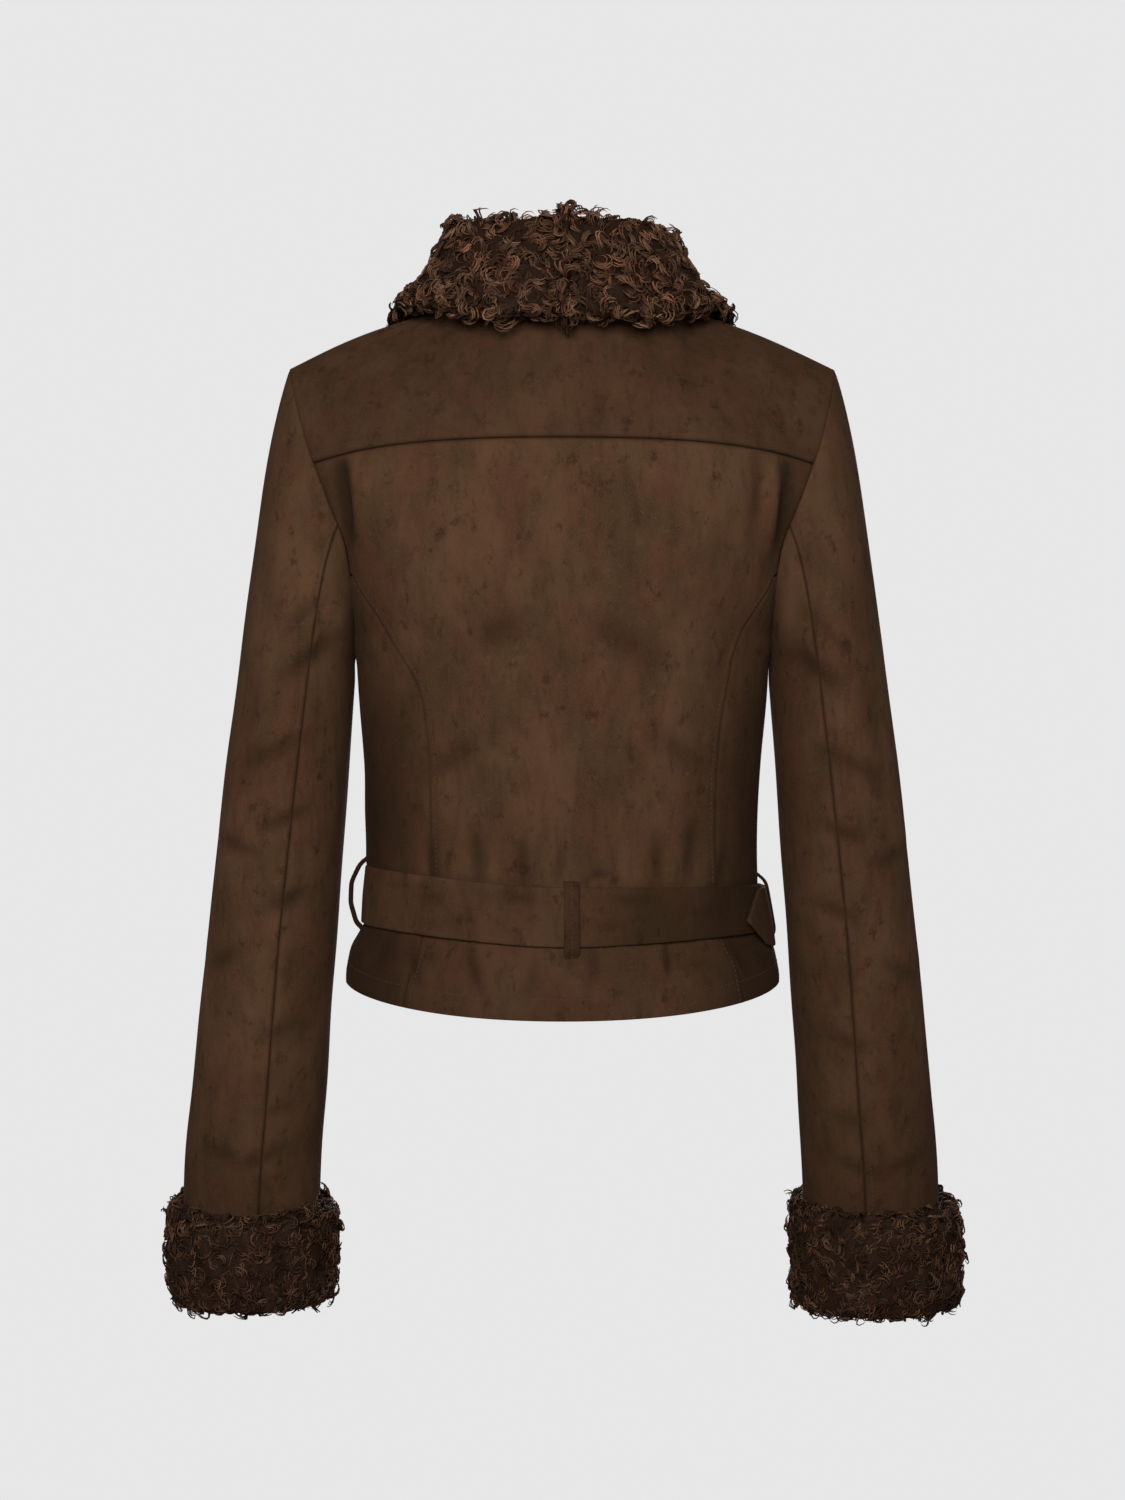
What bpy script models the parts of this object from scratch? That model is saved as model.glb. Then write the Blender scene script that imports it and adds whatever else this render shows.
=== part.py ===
"""Suede jacket with a fur collar and fur cuffs, filled out and hollow.

Metres, +Z up. The jacket faces -Y and the wearer's left side is at +X. The origin is the middle of the
neck at the height of the neck points, where the shoulders hold the jacket up.
"""
import math

import bpy
from mathutils import Vector
from mathutils.bvhtree import BVHTree

WALL = 0.0020            # suede
SEAM_GAP = 0.0003        # between two pieces at a seam
LAY_GAP = 0.0005         # between a piece and what it lies on

# Body, from the hem up to the underarm. Each row is one section round the body.
BODY_COLUMNS = ("name", "side_z", "half_width", "back_depth", "back_drop", "front_depth", "front_drop",
                "seam_x")
BODY_ROWS = (
    ("hem", -0.473, 0.1532, 0.1130, 0.020, 0.1160, 0.011, 0.1170),
    ("flare", -0.450, 0.1492, 0.1085, 0.018, 0.1120, 0.009, 0.1120),
    ("under belt", -0.429, 0.1398, 0.0985, 0.016, 0.1020, 0.008, 0.1040),
    ("waist", -0.383, 0.1366, 0.0940, 0.012, 0.0980, 0.005, 0.0985),
    ("midriff", -0.321, 0.1399, 0.098, 0.008, 0.105, 0.003, 0.0985),
    ("ribs", -0.272, 0.1438, 0.105, 0.005, 0.116, 0.000, 0.1040),
    ("underarm", -0.230, 0.1464, 0.111, 0.004, 0.122, -0.004, 0.1200),
)
# Back and front beside the armhole, from the underarm up: the armhole's point, the middle of the body
# at that row, and how far the cloth has turned forward where it meets the armhole.
ARMHOLE_COLUMNS = ("name", "edge_x", "edge_y", "edge_z", "depth", "centre_z", "turn")
BACK_ROWS = (
    ("low", 0.1462, 0.036, -0.208, 0.1145, -0.207, 80.0),
    ("middle", 0.1500, 0.056, -0.173, 0.1150, -0.172, 62.0),
    ("blade", 0.1615, 0.0605, -0.142, 0.1125, -0.136, 50.0),
    ("yoke seam", 0.1725, 0.0560, -0.1135, 0.1060, -0.100, 42.0),
)
FRONT_ROWS = (
    ("low", 0.1490, 0.034, -0.205, 0.1235, -0.196, 78.0),
    ("middle", 0.1575, 0.046, -0.166, 0.1180, -0.158, 60.0),
    ("chest", 0.1680, 0.047, -0.130, 0.1080, -0.122, 50.0),
)
HEM_DIP = 0.40           # how much later than a flat plane the hem dips towards its middle
ROUNDNESS = 0.60         # length of a section's curve handles, against its width and depth
UNDERARM_ROW = len(BODY_ROWS) - 1
YOKE_ROW = UNDERARM_ROW + len(BACK_ROWS)
CHEST_ROW = UNDERARM_ROW + len(FRONT_ROWS)
PRINCESS_TOP = UNDERARM_ROW + 1.5    # row where the side-back seam runs into the armhole
PRINCESS_TIP = 0.993                 # of the half width, where that seam ends
PRINCESS_UPPER = [0.925, 1.04]       # of the half width, in the rows above the underarm
BODY_TURN = 0.045        # of the half width, by which the worn body's back is turned to the right

NECK_POINT = Vector((0.083, 0.004, 0.000))
SHOULDER_TIP = Vector((0.1925, 0.000, -0.042))
SHOULDER_BOW = 0.0038
NECK_SHARE = 0.36        # share of a top row that is neckline, the rest is shoulder seam
BACK_NECK = (0.075, -0.015)          # depth and height at the centre back
FRONT_NECK = (-0.066, -0.070)        # where a round front neck would end; the V is cut from it
TOP_REACH = 2.6          # how far the rows' own slope carries into the shoulders
OVER_SHOULDER = 0.070    # length of the slope with which the cloth crosses the shoulder seam
OVER_LEVEL = (0.50, 0.50)            # how level that slope is at the neck, and how much more on the seam
OVER_RISE = (0.86, 0.76)             # how steep it is at the neck, and how much less on the seam

OVERLAP = 0.30           # of the half width, by which each front passes the centre
BREAK_ROW = UNDERARM_ROW + 2.0       # where the V neck starts
BREAK_PAST = 0.30        # of the overlap, that a front still has there
OVERLAP_LIFT = 0.0020    # out on the right front, in on the left front
LIFT_EASE = (0.02, 0.25)             # past the overlap, where the lift begins to fade and over how much

# Sleeve, from the biceps to the turned edge inside the fur.
SLEEVE_COLUMNS = ("name", "z", "inner_x", "outer_x", "middle_y", "half_depth", "tilt")
SLEEVE_ROWS = (
    ("biceps", -0.265, 0.1466, 0.2296, 0.000, 0.0600, 0.0),
    ("above elbow", -0.322, 0.1506, 0.2370, 0.002, 0.0590, 0.0),
    ("elbow", -0.378, 0.1547, 0.2434, 0.001, 0.0570, 2.0),
    ("below elbow", -0.435, 0.1592, 0.2500, -0.005, 0.0540, 5.0),
    ("forearm", -0.493, 0.1640, 0.2572, -0.015, 0.0510, 8.0),
    ("lower arm", -0.552, 0.1684, 0.2643, -0.028, 0.0490, 10.0),
    ("above cuff", -0.6125, 0.1733, 0.2709, -0.041, 0.0480, 9.0),
    ("edge", -0.704, 0.1773, 0.2748, -0.056, 0.0470, 2.0),
)
CAP_STEPS = 6
ARM_STEP = 0.5
BACK_SEAM_ROW = UNDERARM_ROW + 2.5   # armhole row where the sleeve's back seam starts
FRONT_SEAM_ROW = UNDERARM_ROW + 1.5
SEAM_DRIFT = 6.0         # degrees that the back seam moves outward down the sleeve
DRIFT_STATIONS = 3.0     # over how many stations it does so
CAP_START = (0.36, -0.93)            # how the sleeve leaves the shoulder, outward and down
CAP_UNDER = 0.35         # how much of that outward way is left at the underarm
CAP_FULLNESS = (0.22, 0.10)          # more of it at the back and the front of the cap, outward and sideways
CAP_REACH = 0.68         # of the cap's length, how strongly it leaves that way

# Fur
COLLARS = (("collar_left", 1.0, 0.0), ("collar_right", -1.0, 0.20))      # name, side, how far it has sunk
SINK_START = 0.16        # share of the neckline where it starts to sink
SINK_LENGTH = 0.62
COLLAR_GAP = 0.0018      # under the collar, and more over the ridge of the shoulder
RIDGE_GAP = 0.0070
SHOULDER_RIDGE = 0.040   # half depth of that ridge
RIDGE_START = 0.012      # from the neckline to where the whole ridge gap is kept
COLLAR_END_X = 0.006     # the collar's halves stop this far from the centre front
COLLAR_CLUMPS = ((0.06, 23.0, 0.5), (0.05, 41.0, 1.0))   # size, number along the neckline, start
FOOT_LIFT = 0.0014       # the collar's foot above the neckline, and its two edges beside it
FOOT_IN = 0.0020
FOOT_OUT = (0.0030, 0.0008)
STAND_PROFILE = ((0.30, 0.55), (0.75, 0.70))             # inside of the stand: share of its rise, of the pile
ROLL_PROFILE = ((0.45, -0.55), (0.80, 0.00), (0.60, 0.70))           # over the roll: pile upward, pile outward
FALL_PROFILE = ((0.30, 1.00), (0.65, 1.05), (0.92, 0.90))            # down the fall: share of it, of the pile
FALL_EDGE = (0.35, 0.40)             # lower edge of the fall: pile downward, pile outward
UNDER_PROFILE = (0.78, 0.56, 0.36, 0.18)                 # back under the fall, from its edge to the foot
UNDER_DROP = 0.003
CUFFS = (                # name, side, thickness of the fur, how much more outside, lower edge, narrowing below
    ("cuff_left", 1.0, 0.0136, -0.0015, -0.7105, 0.42),
    ("cuff_right", -1.0, 0.0146, 0.0041, -0.7165, 0.10),
)
CUFF_TOP = -0.634
CUFF_STEPS = 28
CUFF_LIFT = 0.0011       # between the sleeve and the fur's inside
CUFF_PAST = 0.0006       # how far the fur passes the sleeve's edge
CUFF_INSIDE = 0.0030     # and how far it turns in behind it
CUFF_CLUMPS = ((0.07, 5.0, 0.7), (0.05, 9.0, 2.0))       # size, number round the ring, start
CUFF_PROFILE = ((0.02, 0.25), (0.00, 0.62), (0.10, 0.95), (0.32, 1.08), (0.55, 1.04), (0.78, 1.06),
                (0.95, 0.86), (1.00, 0.40))
COLLAR_COLUMNS = ("name", "place", "rise", "lean", "pile", "fall_x", "fall_y", "fall_z")
COLLAR_ROWS = (
    ("centre back", 0.00, 0.064, 0.012, 0.0165, 0.000, 0.0960, -0.0200),
    ("back side", 0.20, 0.060, 0.012, 0.0165, 0.060, 0.0830, -0.0205),
    ("neck point", 0.40, 0.047, 0.009, 0.0165, 0.1080, 0.0200, -0.0080),
    ("front shoulder", 0.55, 0.040, 0.006, 0.0160, 0.1160, -0.0400, -0.0330),
    ("chest", 0.75, 0.030, 0.002, 0.0150, 0.1000, -0.0870, -0.0800),
    ("lapel", 0.90, 0.020, 0.000, 0.0130, 0.0720, -0.1120, -0.1180),
    ("break", 1.00, 0.010, 0.000, 0.0080, 0.0300, -0.1260, -0.1400),
)

# Belt and what goes with it
BELT_THICK = 0.0026
BELT_TABLE = (           # name, height of the upper edge, width that shows
    ("left side", -0.3920, 0.0405),
    ("back", -0.4040, 0.0405),
    ("right side", -0.4050, 0.0320),
    ("front", -0.3990, 0.0400),
)
BELT_STEPS = 72
BELT_EASE = 0.0006       # more than the usual gap between the belt and the body
LOOP_THICK = 0.0016
LOOP_WIDTH = 0.0105
LOOP_SEWN = 0.004        # length of each end that lies on the cloth
LOOP_EASE = 0.0005       # more than the usual gap between that end and the cloth
LOOP_SPREAD = (-0.035, 0.0, 0.035)   # angles across the loop where it has to clear the cloth
LOOP_PARTS = (-0.03, 0.30, 0.66, 1.04)                   # places down the belt where its way over it is given
TAIL_THICK = 0.0022
TAIL_LAYER = TAIL_THICK + 0.0008
TAIL_RANGE = (266.0, 179.0)          # degrees round the body, from the buckle to the right side loop
TAIL_STEPS = 24
TAIL_INSET = 0.001       # the tail is that much narrower at each edge
TAIL_GAP = 0.0002        # more than the usual gap between the tail and the belt
TAIL_END = (             # degrees, upper and lower edge, how far each stands off the belt
    (176.0, -0.4070, -0.4400, 0.0004, 0.0016),
    (171.5, -0.4085, -0.4495, 0.0006, 0.0036),
    (166.5, -0.4180, -0.4480, 0.0012, 0.0042),
    (161.5, -0.4310, -0.4390, 0.0026, 0.0032),
)
BELT_LOOPS = (           # name, degrees round the body, upper and lower end, how it stands off the belt, layer
    ("belt_loop_back", 92.6, (-0.3975, -0.4545), (0.0010, 0.0012, 0.0012, 0.0010), 0.0),
    ("belt_loop_left", 0.0, (-0.3820, -0.4400), (0.0034, 0.0084, 0.0074, 0.0014), 0.0),
    ("belt_loop_right", 180.0, (-0.3940, -0.4500), (0.0008, 0.0010, 0.0010, 0.0010), TAIL_LAYER),
)
BUCKLE_SIZE = (0.052, 0.058)
BUCKLE_BAR = 0.0050
BUCKLE_THICK = 0.0032
BUCKLE_GAP = 0.0024      # between the tail's own thickness over the belt and the buckle
BUCKLE_SPREAD = (-0.25, 0.0, 0.25)   # angles across the buckle where it has to clear the belt


def column(rows, columns, name):
    place = columns.index(name)
    return [row[place] for row in rows]


def along(values, place):
    """Smooth value at a place in a list: whole places give the list's own values."""
    last = len(values) - 1
    place = min(max(place, 0.0), last)
    start = min(int(place), last - 1)
    part = place - start
    here, after = values[start], values[start + 1]
    before = values[start - 1] if start > 0 else 2 * here - after
    beyond = values[start + 2] if start + 2 <= last else 2 * after - here
    bend = 2 * before - 5 * here + 4 * after - beyond + part * (3 * (here - after) + beyond - before)
    return here + 0.5 * part * (after - before + part * bend)


def smooth(value):
    value = min(max(value, 0.0), 1.0)
    return value * value * (3 - 2 * value)


def hermite(start, end, leave, arrive, part):
    square, cube = part * part, part * part * part
    return (start * (2 * cube - 3 * square + 1) + leave * (cube - 2 * square + part)
            + end * (3 * square - 2 * cube) + arrive * (cube - square))


# ---------------------------------------------------------------- body surface

def upper_rows(face):
    return BACK_ROWS if face == "back" else FRONT_ROWS


def edge_point(face, row):
    """Point of the side seam, or of the armhole above the underarm."""
    if row <= UNDERARM_ROW:
        half = along(column(BODY_ROWS, BODY_COLUMNS, "half_width"), row)
        return Vector((half, 0.0, along(column(BODY_ROWS, BODY_COLUMNS, "side_z"), row)))
    rows = upper_rows(face)
    side = 1.0 if face == "back" else -1.0
    under_x = column(BODY_ROWS, BODY_COLUMNS, "half_width")[UNDERARM_ROW]
    under_z = column(BODY_ROWS, BODY_COLUMNS, "side_z")[UNDERARM_ROW]
    places = row - UNDERARM_ROW
    edge_x = along([under_x] + column(rows, ARMHOLE_COLUMNS, "edge_x"), places)
    edge_y = along([0.0] + column(rows, ARMHOLE_COLUMNS, "edge_y"), places)
    edge_z = along([under_z] + column(rows, ARMHOLE_COLUMNS, "edge_z"), places)
    return Vector((edge_x, side * edge_y, edge_z))


def centre_point(face, row):
    """Depth and height of the body's middle at a row, depth counted positive."""
    rows = upper_rows(face)
    depths = column(BODY_ROWS, BODY_COLUMNS, face + "_depth") + column(rows, ARMHOLE_COLUMNS, "depth")
    sides = column(BODY_ROWS, BODY_COLUMNS, "side_z")
    drops = column(BODY_ROWS, BODY_COLUMNS, face + "_drop")
    heights = [side - drop for side, drop in zip(sides, drops)] + column(rows, ARMHOLE_COLUMNS, "centre_z")
    return along(depths, row), along(heights, row)


def section_point(face, across, row):
    """Point of a section; across runs from 0 at the centre to 1 at the edge, and below 0 past the centre."""
    edge = edge_point(face, row)
    depth, height = centre_point(face, row)
    side = 1.0 if face == "back" else -1.0
    turns = [90.0] * len(BODY_ROWS) + column(upper_rows(face), ARMHOLE_COLUMNS, "turn")
    turn = math.radians(along(turns, row))
    rise = ROUNDNESS * (depth - abs(edge.y))
    handle = Vector((edge.x - rise / math.tan(turn), side * (abs(edge.y) + rise)))
    start = Vector((0.0, side * depth))
    start_handle = Vector((ROUNDNESS * edge.x, side * depth))
    amount = abs(across)
    rest = 1 - amount
    flat = (start * rest ** 3 + start_handle * (3 * rest * rest * amount)
            + handle * (3 * rest * amount * amount) + edge.xy * amount ** 3)
    share = (abs(flat.y) - abs(edge.y)) / (depth - abs(edge.y))
    share = share ** (1 + HEM_DIP * (1 - smooth(row / UNDERARM_ROW)))
    point = Vector((flat.x, flat.y, height * share + edge.z * (1 - share)))
    if across < 0:
        point.x = -point.x
    return point


def top_point(face, across):
    """Neckline, then shoulder seam."""
    if across >= NECK_SHARE:
        part = (across - NECK_SHARE) / (1 - NECK_SHARE)
        bow = Vector((0.0, 0.0, SHOULDER_BOW * math.sin(math.pi * part)))
        return NECK_POINT * (1 - part) + SHOULDER_TIP * part + bow
    neck = BACK_NECK if face == "back" else FRONT_NECK
    angle = math.pi / 2 * across / NECK_SHARE
    turned, left = math.sin(angle), math.cos(angle)
    return Vector((NECK_POINT.x * turned, NECK_POINT.y + (neck[0] - NECK_POINT.y) * left,
                   NECK_POINT.z + (neck[1] - NECK_POINT.z) * left))


def sheet_point(face, across, row):
    """Point of the back or of the front; the row after the last section is the top."""
    last = YOKE_ROW if face == "back" else CHEST_ROW
    if row <= last:
        return section_point(face, across, row)
    amount = abs(across)
    step = 0.1
    start = section_point(face, amount, last)
    leave = (start - section_point(face, amount, last - step)) * (TOP_REACH / step)
    over = smooth(amount / NECK_SHARE)
    forward = -1.0 if face == "back" else 1.0
    level = OVER_LEVEL[0] + OVER_LEVEL[1] * over
    arrive = Vector((0.0, forward * level, OVER_RISE[0] - OVER_RISE[1] * over)) * OVER_SHOULDER
    point = hermite(start, top_point(face, amount), leave, arrive, row - last)
    if across < 0:
        point.x = -point.x
    return point


def across_at(face, share, row):
    """Place across a section where x is a given share of the half width."""
    low, high = 0.0, 1.0
    target = share * edge_point(face, row).x
    for _ in range(30):
        middle = 0.5 * (low + high)
        if section_point(face, middle, row).x < target:
            low = middle
        else:
            high = middle
    return 0.5 * (low + high)


def princess_place(row, side):
    """Place of a side-back seam across a row of the back; side is 1 for the left one, -1 for the right."""
    if row >= PRINCESS_TOP:
        return across_at("back", PRINCESS_TIP, row)
    halves = column(BODY_ROWS, BODY_COLUMNS, "half_width")
    shares = [x / half for x, half in zip(column(BODY_ROWS, BODY_COLUMNS, "seam_x"), halves)]
    turned = side * BODY_TURN * (1 - smooth(row - UNDERARM_ROW + 1.0))
    return across_at("back", min(along(shares + PRINCESS_UPPER, row) - turned, PRINCESS_TIP), row)


def steps(start, end, step):
    count = round((end - start) / step)
    return [start + (end - start) * place / count for place in range(count + 1)]


# ---------------------------------------------------------------- panels

NECK_STEPS = 5
SIDE_STEPS = 4
SHOULDER_STEPS = 10
TOP_ACROSS = [NECK_SHARE * place / NECK_STEPS for place in range(NECK_STEPS)]
TOP_ACROSS = TOP_ACROSS + [NECK_SHARE + (1 - NECK_SHARE) * place / SHOULDER_STEPS
                           for place in range(SHOULDER_STEPS + 1)]
BODY_STEPS = steps(0.0, UNDERARM_ROW, 0.5)
YOKE_STEPS = steps(YOKE_ROW, YOKE_ROW + 1.0, 0.2)
FRONT_TOP_STEPS = steps(CHEST_ROW, CHEST_ROW + 1.0, 1.0 / 6.0)


def mirrored(grid):
    """The same grid on the other side, its columns turned round."""
    return [[Vector((-point.x, point.y, point.z)) for point in reversed(line)] for line in grid]


def back_center_grid():
    grid = []
    for row in steps(0.0, YOKE_ROW, 0.5):
        line = []
        for side, places in ((-1, reversed(TOP_ACROSS[1:])), (1, TOP_ACROSS)):
            reach = princess_place(row, side) if row <= PRINCESS_TOP else 1.0
            line += [sheet_point("back", side * reach * across, row) for across in places]
        grid.append(line)
    return grid


def back_side_grid(side):
    grid = []
    for row in steps(0.0, PRINCESS_TOP, 0.5):
        start = princess_place(row, side)
        line = [sheet_point("back", side * (start + (1 - start) * place / SIDE_STEPS), row)
                for place in range(SIDE_STEPS + 1)]
        grid.append(line)
    return grid


def yoke_grid():
    grid = []
    for row in YOKE_STEPS:
        right = [sheet_point("back", across, row) for across in TOP_ACROSS]
        left = [Vector((-point.x, point.y, point.z)) for point in reversed(right[1:])]
        grid.append(left + right)
    return grid


def front_start(row):
    """Place across where a front begins: past the centre below the V, on the V's edge above."""
    if row <= BREAK_ROW:
        return -OVERLAP * (1 - smooth((row - UNDERARM_ROW) / (BREAK_ROW - UNDERARM_ROW)) * (1 - BREAK_PAST))
    part = (row - BREAK_ROW) / (CHEST_ROW + 1.0 - BREAK_ROW)
    low = -BREAK_PAST * OVERLAP
    return low + (NECK_SHARE - low) * part ** 0.9


def front_grid(lift):
    """One front on the +X side, lifted where the two fronts overlap."""
    grid = []
    for row in BODY_STEPS[:-1] + steps(UNDERARM_ROW, CHEST_ROW, 0.5)[:-1] + FRONT_TOP_STEPS:
        start = front_start(row)
        line = []
        for place in range(SHOULDER_STEPS + 1):
            across = start + (1 - start) * place / SHOULDER_STEPS
            point = sheet_point("front", across, row)
            ease = 1 - smooth((across - OVERLAP - LIFT_EASE[0]) / LIFT_EASE[1])
            high = 1 - smooth(row - CHEST_ROW)
            line.append(point + Vector((0.0, -lift * ease * high, 0.0)))
        grid.append(line)
    return grid


# ---------------------------------------------------------------- sleeves

def armhole_loop():
    """The armhole's points with their names, from the underarm up the back and down the front."""
    loop = []
    for row in steps(UNDERARM_ROW, YOKE_ROW, 0.5)[:-1] + YOKE_STEPS:
        loop.append((("back", row), sheet_point("back", 1.0, row)))
    front = steps(UNDERARM_ROW, CHEST_ROW, 0.5)[:-1] + FRONT_TOP_STEPS
    for row in reversed(front[1:-1]):
        loop.append((("front", row), sheet_point("front", 1.0, row)))
    return loop


def loop_angles(loop):
    """Degrees round the sleeve for each armhole point: 0 underarm, 180 shoulder, 360 underarm again."""
    points = [point for _, point in loop]
    top = max(range(len(points)), key=lambda place: points[place].z)
    back = [0.0]
    for place in range(1, top + 1):
        back.append(back[-1] + (points[place] - points[place - 1]).length)
    front = [0.0]
    ring = points[top:] + points[:1]
    for place in range(1, len(ring)):
        front.append(front[-1] + (ring[place] - ring[place - 1]).length)
    angles = [180.0 * length / back[-1] for length in back]
    return angles + [180.0 + 180.0 * length / front[-1] for length in front[1:-1]]


def ring_point(angle, station):
    """Point of the sleeve at a station: the table's place down the arm."""
    values = [along(column(SLEEVE_ROWS, SLEEVE_COLUMNS, name), station) for name in SLEEVE_COLUMNS[1:]]
    height, inner, outer, middle, half_depth, tilt = values
    drift = SEAM_DRIFT * min(station / DRIFT_STATIONS, 1.0)
    turn = math.radians(angle + drift * math.sin(math.radians(angle)))
    half_width = 0.5 * (outer - inner)
    back = half_depth * math.sin(turn)
    return Vector((0.5 * (outer + inner) - half_width * math.cos(turn), middle + back,
                   height - math.tan(math.radians(tilt)) * back))


def sleeve_columns():
    """For each armhole point, the points down the sleeve."""
    loop = armhole_loop()
    columns = []
    for (name, start), angle in zip(loop, loop_angles(loop)):
        end = ring_point(angle, 0.0)
        down = (ring_point(angle, 0.5) - end).normalized()
        length = (end - start).length
        side = math.sin(math.radians(angle))
        over = abs(math.sin(math.radians(angle / 2)))
        out = CAP_START[0] * (CAP_UNDER + (1 - CAP_UNDER) * over) + CAP_FULLNESS[0] * abs(side)
        leave = Vector((out, CAP_FULLNESS[1] * side, CAP_START[1])).normalized() * (CAP_REACH * length)
        line = [hermite(start, end, leave, down * length, step / CAP_STEPS) for step in range(CAP_STEPS)]
        for station in steps(0.0, len(SLEEVE_ROWS) - 1.0, ARM_STEP):
            line.append(ring_point(angle, station))
        columns.append((name, line))
    return columns


def sleeve_grids():
    columns = sleeve_columns()
    names = [name for name, _ in columns]
    back_seam = names.index(("back", BACK_SEAM_ROW))
    front_seam = names.index(("front", FRONT_SEAM_ROW))
    upper = columns[back_seam:front_seam + 1]
    under = columns[front_seam:] + columns[:back_seam + 1]
    grids = []
    for piece in (upper, under):
        lines = [line for _, line in piece]
        grids.append([list(points) for points in zip(*lines)])
    return grids


# ---------------------------------------------------------------- sewing panels into walls

def key_of(point):
    return tuple(round(value * 1e6) for value in point)


def grid_normals(grid):
    sums = [[Vector() for _ in line] for line in grid]
    for row in range(len(grid) - 1):
        for place in range(len(grid[0]) - 1):
            first, second = grid[row][place], grid[row][place + 1]
            third, fourth = grid[row + 1][place], grid[row + 1][place + 1]
            normal = (fourth - first).cross(third - second)
            for down, right in ((0, 0), (0, 1), (1, 0), (1, 1)):
                sums[row + down][place + right] += normal
    return [[total.normalized() for total in line] for line in sums]


def sides_of(grid):
    """The four sides of a grid as lists of (row, place) with the inner neighbour of each."""
    rows, places = len(grid), len(grid[0])
    yield [((0, place), (1, place)) for place in range(places)]
    yield [((rows - 1, place), (rows - 2, place)) for place in range(places)]
    yield [((row, 0), (row, 1)) for row in range(rows)]
    yield [((row, places - 1), (row, places - 2)) for row in range(rows)]


def at(grid, spot):
    return grid[spot[0]][spot[1]]


RIM_ORDER = Vector((0.31, 0.17, 1.0))    # a rim is split the same way on both sides of a seam
VALLEY_ANGLE = 120.0     # degrees between two outer faces, beyond which they always meet in a valley
MITER_LIMIT = 1.5        # of the wall, the longest mitre
APART_ANGLES = (70.0, 50.0)          # degrees where a valley's walls start to part, and over how many more


class Sewing:
    """Panels that share their seam points, cut apart by the seam gap and given a wall."""

    def __init__(self):
        self.panels = {}
        self.owners = {}

    def add(self, name, sheet, grid, outward):
        """outward is a point that the panel's outer face looks towards from its own middle."""
        normals = grid_normals(grid)
        middle = (len(grid) // 2, len(grid[0]) // 2)
        if at(normals, middle).dot(outward) < 0:
            grid = [list(reversed(line)) for line in grid]
            normals = grid_normals(grid)
        self.panels[name] = (sheet, grid, normals)
        for line in grid:
            for point in line:
                self.owners.setdefault(key_of(point), set()).add(name)

    def seams(self, name, side):
        """For each point of a side, its unit directions into the panel: where a panel of this sheet is
        sewn on, and where another sheet is. A direction is square to the stretches that are sewn."""
        sheet, grid, _ = self.panels[name]
        points = [at(grid, spot) for spot, _ in side]
        keys = [key_of(point) for point in points]
        sewn = [{}, {}]
        for place in range(len(keys) - 1):
            mates = (self.owners[keys[place]] & self.owners[keys[place + 1]]) - {name}
            if not mates:
                continue
            kind = 1 if any(self.panels[mate][0] != sheet for mate in mates) else 0
            line = points[place + 1] - points[place]
            for end in (place, place + 1):
                sewn[kind][end] = sewn[kind].get(end, Vector()) + line
        result = []
        for place, (spot, inner) in enumerate(side):
            directions = [None, None]
            for kind in (0, 1):
                if place in sewn[kind]:
                    line = sewn[kind][place].normalized()
                    direction = at(grid, inner) - at(grid, spot)
                    directions[kind] = (direction - line * direction.dot(line)).normalized()
            result.append(directions)
        return result

    def gather(self):
        """Sum of normals and of inward directions for each point and sheet."""
        normals, inwards = {}, {}
        for name, (sheet, grid, own) in self.panels.items():
            for row, line in enumerate(grid):
                for place, point in enumerate(line):
                    spot = (key_of(point), sheet)
                    normals[spot] = normals.get(spot, Vector()) + own[row][place]
            for side in sides_of(grid):
                for place, (_, across) in enumerate(self.seams(name, side)):
                    if across:
                        spot = (key_of(at(grid, side[place][0])), sheet)
                        inwards[spot] = inwards.get(spot, Vector()) + across
        return normals, inwards

    def joint(self, key, sheet, normals, inwards):
        """Wall direction and shift where this sheet meets another one at an angle."""
        other = [spot for spot in inwards if spot[0] == key and spot[1] != sheet][0]
        own_normal, other_normal = normals[(key, sheet)].normalized(), normals[other].normalized()
        own_in, other_in = inwards[(key, sheet)].normalized(), inwards[other].normalized()
        between = own_normal.angle(other_normal)
        valley = own_in.dot(other_normal) > 0 or between > math.radians(VALLEY_ANGLE)
        turn = 1.0 if valley else -1.0
        shift = ((own_in - other_in) + (other_normal - own_normal) * turn).normalized()
        total = own_normal + other_normal
        longer = min(1 / max(math.cos(between / 2), 1 / MITER_LIMIT), MITER_LIMIT)
        miter = -total.normalized() * (WALL * longer)
        own = -own_normal * WALL
        apart = smooth((math.degrees(between) - APART_ANGLES[0]) / APART_ANGLES[1]) if valley else 0.0
        return miter * (1 - apart) + own * apart, shift

    def solids(self):
        """For each panel, its outer grid and its inner grid."""
        normals, inwards = self.gather()
        crossing = {}
        for spot in inwards:
            crossing.setdefault(spot[0], set()).add(spot[1])
        result = {}
        for name, (sheet, grid, _) in self.panels.items():
            shifts = {}
            walls = {}
            for side in sides_of(grid):
                for place, (within, across) in enumerate(self.seams(name, side)):
                    spot = side[place][0]
                    key = key_of(at(grid, spot))
                    if within:
                        shifts[spot] = shifts.get(spot, Vector()) + within
                    if across and len(crossing[key]) > 1:
                        walls[spot], shift = self.joint(key, sheet, normals, inwards)
                        shifts[spot] = shifts.get(spot, Vector()) + shift
            outer, inner = [], []
            for row, line in enumerate(grid):
                outer.append([])
                inner.append([])
                for place, point in enumerate(line):
                    spot = (row, place)
                    moved = point + shifts.get(spot, Vector()) * (SEAM_GAP / 2)
                    wall = walls.get(spot, normals[(key_of(point), sheet)].normalized() * -WALL)
                    outer[-1].append(moved)
                    inner[-1].append(moved + wall)
            result[name] = (outer, inner)
        return result




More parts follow.
